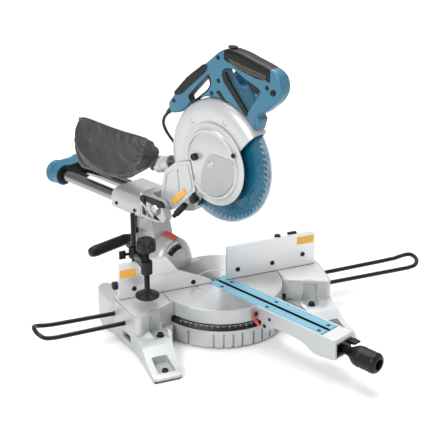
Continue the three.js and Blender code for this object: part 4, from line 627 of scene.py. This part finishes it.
# handle housing
hOut = [(-151, 478), (-142, 456), (-113, 464), (-98, 474), (-86, 487.5), (-62, 507.5), (-30, 518.4), (5, 521.5), (40, 517.8), (72, 504.4), (84, 498.2), (98, 488.6), (108, 476), (114, 476), (121, 500), (114, 507.5), (135, 520), (155, 537), (168, 549), (177.6, 567), (178.6, 582), (173, 599), (159.5, 608), (132, 616), (98, 623), (70, 629.5), (41, 632), (24, 630), (5, 621.5), (-39, 585), (-86, 549), (-124, 510)]
gB = [(24, 608), (65, 595.5), (115, 586), (136, 587), (148, 585.5)]
def gripCut(gp_, x0=20, x1=149, e0=22): return [(x0, 660), (e0, 608 + gp_)] + [(p[0] if p[0] != 148 else min(148, x1 - 0.3), p[1] + gp_) for p in gB] + [(x1, 660)]
dHole = [(14, 583), (24, 566), (60, 532), (86, 504.5), (113, 542), (125, 561), (120, 567), (78, 581), (49, 594), (27, 592)]
cHole = [(-26, 564), (-17, 549), (-26, 535), (-75, 496), (-83, 507)]
def soft_side(pts, n0, n1, r, k=6):
    """Plate along n with its outline rounded over at both faces."""
    m_ = len(pts); area2 = sum(pts[i][0] * pts[(i + 1) % m_][1] - pts[(i + 1) % m_][0] * pts[i][1] for i in range(m_)); sg = 1 if area2 > 0 else -1
    nrm = []
    for i in range(m_):
        a_, b_, c_ = Vector(pts[i - 1]), Vector(pts[i]), Vector(pts[(i + 1) % m_])
        e1, e2 = (b_ - a_).normalized(), (c_ - b_).normalized(); t_ = (e1 + e2).normalized() if (e1 + e2).length > 1e-6 else e1
        nrm.append(Vector((-t_.y, t_.x)) * sg / max(0.6, t_.dot(e1)))
    rows = [(n0 + r * (1 - math.cos(i / k * pi / 2)), r * (1 - math.sin(i / k * pi / 2))) for i in range(k + 1)]
    rows += [(n1 - r * (1 - math.cos(i / k * pi / 2)), r * (1 - math.sin(i / k * pi / 2))) for i in range(k, -1, -1)]
    vs = [P(q[0] + w_.x * e_, n_, q[1] + w_.y * e_) for n_, e_ in rows for q, w_ in zip(pts, nrm)]
    fs = [list(range(m_))[::-1], [(len(rows) - 1) * m_ + i for i in range(m_)]]
    for j in range(len(rows) - 1):
        for i in range(m_): fs.append([j * m_ + i, j * m_ + (i + 1) % m_, (j + 1) * m_ + (i + 1) % m_, (j + 1) * m_ + i])
    return new("t", vs, fs)
ho = soft_side(round_pts(hOut, 8, 6), -14, 16.8, 6)
ho = cut(ho, side([(-160, 640), (-20, 640), (-11, 588), (-12, 545), (-60, 496), (-84, 486), (-116, 478), (-160, 506)], 1, 40))
ho = cut(ho, side(round_pts(dHole, 7), -30, 30), side(round_pts(cHole, 6), -30, 30), rod(ax(-40), ax(60), 139.6, 160), side(gripCut(0), -30, 30))
ho = cut(ho, side([(70, 578), (74, 591), (124, 581), (128, 562), (116, 556)], -9, 11.5), rod(P(158, -20, 566), P(158, -4, 566), 6.3, 32), rod(P(34, 1, 622), P(34, 1, 640), 4.3, 24))
ho = cut(ho, pile(side(round_pts([(-2, 536), (9, 541), (31, 519.6), (16, 521)], 2, 3), -16, -11), *[rod(P(d_, -15, z_), P(d_, -12.4, z_), 5.4, 32) for d_, z_ in ((5, 609), (-14, 529), (-41, 504), (-130, 488), (141, 572.5), (-104, 524), (6, 560))]))
vts = pile(*[side([(-74 + i * 9, 521 + i * 5.6), (-70 + i * 9, 523.6 + i * 5.6), (-66 + i * 9, 517 + i * 5.6), (-70 + i * 9, 514.6 + i * 5.6)], -16, -12.6) for i in range(0)]) if False else None
fin(ho, "handle_shell", M["blue"], "head", "handle_housing", ARM, 2.4, 4, 40)
fin(pile(*[turned(P(d_, -12.4, z_), P(d_, -14.6, z_), [(0, 0), (4.4, 0), (4.4, 0.8), (3.2, 1.9), (1.5, 1.9), (1.3, 0.8), (0, 0.8)], 32) for d_, z_ in ((5, 609), (-14, 529), (-41, 504), (-130, 488), (141, 572.5), (-104, 524), (6, 560))]), "handle_screws", M["satin"], "head", (), ARM, 0)
fin(side(round_pts([(15, 577), (27, 583), (34, 568), (63, 538), (92, 507), (85, 500), (56, 527), (20, 562)], 4), -15.2, -8.4), "handle_lining", M["black"], "head", (), ARM, 1.2, 2)
fin(side(round_pts([(-2, 536), (9, 541), (31, 519.6), (16, 521)], 2, 3), -13.6, -10), "handle_slot", M["black"], "head", (), ARM, 0.3, 1)
fin(cut(side(round_pts([(-22, 570.5), (-13.5, 549.5), (-24, 532.5), (-75, 492.5), (-86.5, 508)], 6), -14.8, 1.6), side(round_pts(cHole, 6), -20, 20)), "carry_lining", M["black"], "head", (), ARM, 0.8, 2)
mg = meet(soft_side(round_pts(hOut, 8, 6), -15.6, 18.4, 8.5), side(gripCut(0.3, 22.6, 148.7, 22.6), -30, 30))
mg = cut(mg, rod(P(34, 1, 600), P(34, 1, 660), 4.3, 24), side([(0, 615), (30, 640), (29, 600), (0, 600)], 40, 60))
nb = []
for row, off in ((0, 0.0), (1, 4.0), (2, 8.0)):
    for i in range(19):
        d_ = 40 + i * 5.4 + (2.7 if row % 2 else 0)
        z_ = 614.5 - (d_ - 24) * 0.17 - off + (1.2 if d_ > 110 else 0)
        if d_ > 138: continue
        nb.append(turned(P(d_, -15.3, z_), P(d_, -16.5, z_), [(0, 0), (1.7, 0), (1.2, 0.9), (0, 1.1)], 8)); nb.append(turned(P(d_, 18.1, z_), P(d_, 19.3, z_), [(0, 0), (1.7, 0), (1.2, 0.9), (0, 1.1)], 8))
fin(pile(*nb), "grip_nubs", M["nub"], "head", (), ARM, 0)
fin(mg, "main_grip_cover", M["grip"], "head", "main_grip", ARM, 1.0, 2, 40)
cg = cut(side(round_pts([(-37.5, 587.2), (-30, 589), (-26, 583), (-33, 570.5), (-106, 508), (-122, 503), (-128, 505), (-124.6, 511.2), (-86.4, 550)], 3), -16, 2.8), side(round_pts(hOut, 6), -14.3, 1.3))
fin(cg, "carry_grip_cover", M["grip"], "head", "carry_grip", ARM, 1.3, 3, 40)
fin(side(round_pts([(80, 587), (117, 576.5), (117.5, 560), (107, 550), (94, 556), (82, 570)], 5), -8.4, 10.9), "switch_trigger_body", M["black"], "switch_trigger", "trigger", ARM, 2.0, 3)
fin(turned(P(158, -9.5, 566), P(158, -18.5, 566), [(0, 0), (6, 0), (6, 7.4), (5, 8.8), (3.6, 9), (3, 8.4), (0, 8.2)], 48), "lock_off_body", M["black"], "lock_button", "lock_off_button", ARM, 0)
wg = pile(rod(P(34, 1, 612), P(34, 1, 634), 4, 32), prism(round_pts([(-6, -44), (6, -44), (8, -34), (6, -24), (-6, -24), (-8, -34)], 4), 632.4, 635.9))
fin(wg, "top_screw", M["black"], "head", "top_wing_screw", ARM, 0.6)

# blade with its teeth
TEETH = 60
out = []
for i in range(TEETH):
    t0 = 360 / TEETH * i
    for dt, r in ((0, 129.9), (0.9, 129.0), (2.6, 126.6), (3.4, 122.6), (4.2, 120.2), (5.1, 120.6), (5.75, 124.0), (5.95, 129.2)):
        t = math.radians(t0 + dt); out.append((C[0] + r * math.cos(t), C[1] + r * math.sin(t)))
bd = side(out, -0.9, 0.9)
sl_ = []
for i in range(6):
    t = math.radians(60 * i + 4.6 - 0.0)
    u_ = Vector((math.cos(t), math.sin(t))); v_ = Vector((-u_.y, u_.x)); c0 = Vector(C)
    sl_.append(side([tuple(c0 + u_ * 104 - v_ * 0.5), tuple(c0 + u_ * 122 - v_ * 0.5), tuple(c0 + u_ * 122 + v_ * 0.5), tuple(c0 + u_ * 104 + v_ * 0.5)], -3, 3))
bd = cut(bd, rod(ax(-5), ax(5), 15.2, 64), pile(*sl_), pile(*[rod(P(C[0] + 104 * math.cos(math.radians(60 * i + 4.6)), -3, C[1] + 104 * math.sin(math.radians(60 * i + 4.6))), P(C[0] + 104 * math.cos(math.radians(60 * i + 4.6)), 3, C[1] + 104 * math.sin(math.radians(60 * i + 4.6))), 2.2, 24) for i in range(6)]))
fin(bd, "blade_disc", M["blade"], "blade", "saw_blade", ARM, 0)
tips = []
for i in range(TEETH):
    def pt(dt, r): 
        t = math.radians(360 / TEETH * i + dt); return (C[0] + r * math.cos(t), C[1] + r * math.sin(t))
    tips.append(side([pt(-0.75, 129.9), pt(0.25, 129.4), pt(0.15, 123.6), pt(-0.75, 123.4)], -1.15, 1.15))
fin(pile(*tips), "blade_tips", M["carbide"], "blade", (), ARM, 0)
fin(turned(ax(-5), ax(-1.4), [(5.4, 0.4), (22, 0), (25, 1.2), (25, 3.6), (5.4, 3.6), (5.4, 0.4)], 72), "outer_flange", M["steel"], "blade", "flange_outer", ARM, 0)
fin(pile(rod(ax(1.4), ax(6), 25, 72, ch=0.6), rod(ax(-1.2), ax(17.1), 9, 48), rod(ax(-5), ax(0), 5.1, 32)), "arbor", M["steel"], "blade", "arbor_shaft", ARM, 0)
fin(cut(turned(ax(-5.3), ax(-10), [(0, 0), (9, 0), (9, 4), (8.2, 4.7), (0, 4.7)], 6), rod(ax(-12), ax(-7.4), 4, 6)), "arbor_hex", M["satin"], "blade", "arbor_bolt", ARM, 0.2, 1)
# see-through lower guard
def sector(a0, a1, r): return [C] + circle(C[0], C[1], r, a0, a1, 60)
lg = meet(side(sector(-118, 62, 170), -11, 11), turned(ax(-11), ax(11), [(0, 0), (131.5, 0), (133.6, 0.8), (134.5, 2.6), (134.5, 19.4), (133.6, 21.2), (131.5, 22), (0, 22)], 192))
lg = cut(lg, rod(ax(-8.5), ax(8.5), 131.6, 160), rod(ax(-20), ax(-5), 62, 96), rod(ax(5), ax(20), 50, 64))
lg = join(lg, ring(ax(8.5), ax(11), 30, 54, 72))
lr = meet(side(sector(-116, 60, 170), -11.8, -10.6), ring(ax(-12), ax(-10), 96, 98.5, 160))
lg = join(lg, lr)
fin(lg, "clear_guard", M["clear"], "guard", "lower_guard", ARM, 0.4, 1)
fin(turned(P(-104, -44, 231), P(-66, -44, 270), [(0, 0), (3.4, 0), (5, 1.4), (5, 12), (7.5, 14)] + [(7.5 - (0.7 if i % 2 else 0), 17 + i * 2.4) for i in range(13)] + [(7.5, 50), (6.4, 54), (0, 54)], 48), "damper_body", M["black"], "head", "stop_damper", ARM, 0)
fin(turned(P(-141, -12, 341), P(-186, -12, 322.2), [(14, 0), (17.4, 0), (17.4, 24), (19, 25), (19, 31), (17.4, 32), (17.4, 47.6), (16.4, 48.6), (14, 48.6), (14, 0)], 64), "nozzle_body", M["cast"], "head", "dust_nozzle", ARM, 0)

# ------------------------------------------------------------------ dust bag: two cloth panels sewn round the edge, blown up and creased
top_l = [(-193, 341), (-197, 356), (-206, 369), (-215, 379), (-250, 379.5), (-290, 377.5), (-332, 377), (-380, 378), (-424, 379), (-445, 377), (-458, 372)]
bot_l = [(-193, 341), (-204, 322), (-212, 314), (-222, 306), (-250, 288), (-285, 267), (-325, 261), (-366, 256), (-410, 251), (-444, 249), (-460, 276)]
def bag():
    NU, NV = 54, 20
    tl, bl_ = catmull([Vector((p[0], p[1], 0)) for p in top_l], 8), catmull([Vector((p[0], p[1], 0)) for p in bot_l], 8)
    def at(line, t):
        x = t * (len(line) - 1); i = min(int(x), len(line) - 2); return line[i].lerp(line[i + 1], x - i)
    vs, fs = [], []
    for sd in (-1, 1):
        for i in range(NU + 1):
            t = i / NU; A_, B_ = at(tl, t), at(bl_, t)
            for j in range(NV + 1):
                v = j / NV; q = B_.lerp(A_, v)
                edge = math.sin(pi * v) ** 0.55 if 0 < v < 1 else 0
                endf = min(1, (t / 0.16)) ** 0.6 * min(1, (1 - t) / 0.06 + 0.10) ** 0.5
                th = 1.2 + 25 * edge * endf
                vs.append((-19 + sd * th, -q.x, q.y))
    K = (NU + 1) * (NV + 1)
    for i in range(NU):
        for j in range(NV):
            k = i * (NV + 1) + j; f = [k, k + 1, k + NV + 2, k + NV + 1]
            fs.append(f[::-1]); fs.append([x + K for x in f])
    def strip(ks):
        for a_, b_ in zip(ks, ks[1:]): fs.append([a_, b_, b_ + K, a_ + K])
    strip([i * (NV + 1) for i in range(NU + 1)]); strip([i * (NV + 1) + NV for i in range(NU, -1, -1)])
    strip([NU * (NV + 1) + j for j in range(NV + 1)]); strip([j for j in range(NV, -1, -1)])
    o = new("bag", vs, fs); bm = bmesh.new(); bm.from_mesh(o.data); bmesh.ops.remove_doubles(bm, verts=bm.verts, dist=0.05); bmesh.ops.recalc_face_normals(bm, faces=bm.faces); bm.to_mesh(o.data); bm.free()
    o.data.transform(Matrix.Scale(0.001, 4))
    rest = [v.co.copy() for v in o.data.vertices]
    vg = o.vertex_groups.new(name="pin")
    for v in o.data.vertices:
        d_, z_ = -v.co.y * 1000, v.co.z * 1000
        wt = 1.0 if d_ > -206 else 0.0
        if d_ < -452: wt = 0.95
        if abs(v.co.x * 1000 + 19) < 3.5: wt = max(wt, 0.98)   # the sewn edge stays on its line
        if wt: vg.add([v.index], wt, 'REPLACE')
    cl = o.modifiers.new("cloth", 'CLOTH'); s = cl.settings
    s.quality = 6; s.mass = 0.25; s.use_pressure = True; s.uniform_pressure_force = 2.2; s.tension_stiffness = 8; s.compression_stiffness = 8; s.shear_stiffness = 4; s.bending_stiffness = 0.12
    s.shrink_min = -0.045; s.vertex_group_mass = "pin"; s.effector_weights.gravity = 0.35; cl.collision_settings.use_collision = False; cl.collision_settings.use_self_collision = False
    cl.point_cache.frame_start, cl.point_cache.frame_end = 1, 26
    for f in range(1, 25): bpy.context.scene.frame_set(f)
    bake(o); bpy.context.scene.frame_set(1)
    for v, r in zip(o.data.vertices, rest):
        dv = v.co - r
        if dv.length > 0.012: v.co = r + dv.normalized() * 0.012
    o.vertex_groups.clear()
    o.data.transform(Matrix.Scale(1000, 4))
    sub = o.modifiers.new("s", 'SUBSURF'); sub.levels = 2; bake(o)
    # creases run out from the neck, with soft dents over the rest
    for v in o.data.vertices:
        d_, n_, z_ = -v.co.y, v.co.x, v.co.z; sgn = 1 if n_ > -19 else -1
        dx, dz = -193 - d_, z_ - 345; rr = math.hypot(dx, dz); th = math.atan2(dz, dx)
        edge = min(1, abs(n_ + 19) / 14)
        w1 = math.sin(th * 19 + 0.6 * math.sin(rr / 17)) * math.exp(-rr / 48) * 3.6 * min(1, rr / 12)
        w2 = noise.noise(Vector((d_ / 46, z_ / 26 + d_ / 90, sgn * 3))) * 3.2
        w3 = noise.noise(Vector((d_ / 17, z_ / 15, sgn * 7 + 2))) * 0.7
        w4 = -1.2 * math.exp(-((z_ - (318 - (d_ + 300) * 0.10)) / 6.0) ** 2) * min(1, max(0, (-d_ - 225) / 60))
        v.co.x = n_ + sgn * edge * (w1 + w2 + w3 + w4)
        if sgn < 0: v.co.x = max(v.co.x, -56.5)
        else: v.co.x = min(v.co.x, 18.5)
        v.co.z += edge * noise.noise(Vector((d_ / 28, n_ / 12, 5))) * 1.6
    return o
bg = bag()
fin(bg, "dust_bag_cloth", M["cloth"], "head", "dust_bag", ARM, 0, ang=180)
# sewn edge, neck band and the stiff closing rail at the back end
edge_line = catmull([P(p[0], -19, p[1]) for p in top_l[1:]], 6)
edge2 = catmull([P(p[0], -19, p[1]) for p in bot_l[1:]], 6)
def piping(line, r, nm):
    fin(tube(line, r, 3), nm, M["cloth"], "head", (), ARM, 0)
piping(edge_line, 1.7, "bag_seam_top"); piping(edge2, 1.7, "bag_seam_bottom")
rl = tube(catmull([P(-457, -19, 374), P(-461, -19, 340), P(-462.4, -19, 305), P(-461, -19, 276)], 8), 3.4, 5)
fin(rl, "bag_closing_rail", M["black"], "head", (), ARM, 0)
fin(turned(P(-184.5, -12, 323), P(-203, -13.5, 337), [(17.6, 0), (19.4, 0.8), (20.2, 3), (20, 9), (19, 12), (17.6, 12), (17.6, 0)], 64, lambda t, r, h: 1 + 0.03 * math.sin(18 * t) if r > 16 else 1), "bag_neck_band", M["cloth"], "head", (), ARM, 0, ang=60)

# ------------------------------------------------------------------ leads
fin(turned(P(-149.3, 2, 464.6), P(-168, 2, 448.1), [(0, 0), (8, 0), (8.4, 1.4), (8, 4)] + [(7.4 - i * 0.33 - (0.9 if i % 2 else 0), 5.4 + i * 2.4) for i in range(8)] + [(4.6, 25), (3.4, 25), (0, 25)], 48), "lead_boot", M["rubber"], "head", "strain_relief", ARM, 0, ang=50)
hl = cordcurve("head_lead_rubber", catmull([P(-167.6, 2, 448.4), P(-182, 4, 432), P(-189, 9, 413), P(-184, 16, 392), P(-168, 22, 372), P(-153, 25.5, 357), P(-139.6, 27, 341.9)], 8), 3.5, "head", M["rubber"])
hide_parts("head_lead")
gl = turned(P(-187.3, 0, 17), P(-210, 0, 17), [(0, 0), (8, 0), (8.3, 1.2), (8, 4)] + [(7.2 - i * 0.32 - (0.8 if i % 2 else 0), 5.2 + i * 2.1) for i in range(8)] + [(4.4, 21.6), (3.3, 22), (0, 22)], 48)
fin(gl, "mains_boot", M["rubber"], "turntable_set", "cord_gland", ARM, 0, ang=50)
pl = turned(PLUG0, P(-330, 140, 46.6), [(0, 0), (4.6, 0), (5, 1)] + [(5.2 + i * 0.28 - (0.7 if i % 2 else 0), 2 + i * 1.7) for i in range(6)] + [(8.5, 12.6), (12.5, 14.4), (16, 16), (17.8, 18.2), (18, 21), (18, 34), (17.2, 36.8), (15.6, 38), (0, 38)], 72)
fin(pl, "plug_body", M["rubber"], "turntable_set", "mains_plug", ARM, 0, ang=50)
pins = pile(*[turned(P(d_, 114, 46.6), P(d_, 133, 46.6), [(0, 0), (2.4, 0), (2.4, 17), (1.6, 19), (0, 19)], 32) for d_ in (-339.5, -320.5)])
fin(pins, "plug_pins", M["steel"], "turntable_set", (), ARM, 0)
# the free lead, its turns sized so that the whole of it is TARGET long
lo_, hi_ = 0.9, 1.08
for _ in range(24):
    mid = (lo_ + hi_) / 2
    if line_len(route(mid)) < TARGET: lo_ = mid
    else: hi_ = mid
cordpts = route(lo_)
fc = cordcurve("mains_lead", cordpts, 3.5, "turntable_set", M["rubber"])
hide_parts("cord_run", "cord_coil")

# tidy away what the mesh making left over
for me in list(bpy.data.meshes):
    if me.users == 0: bpy.data.meshes.remove(me)
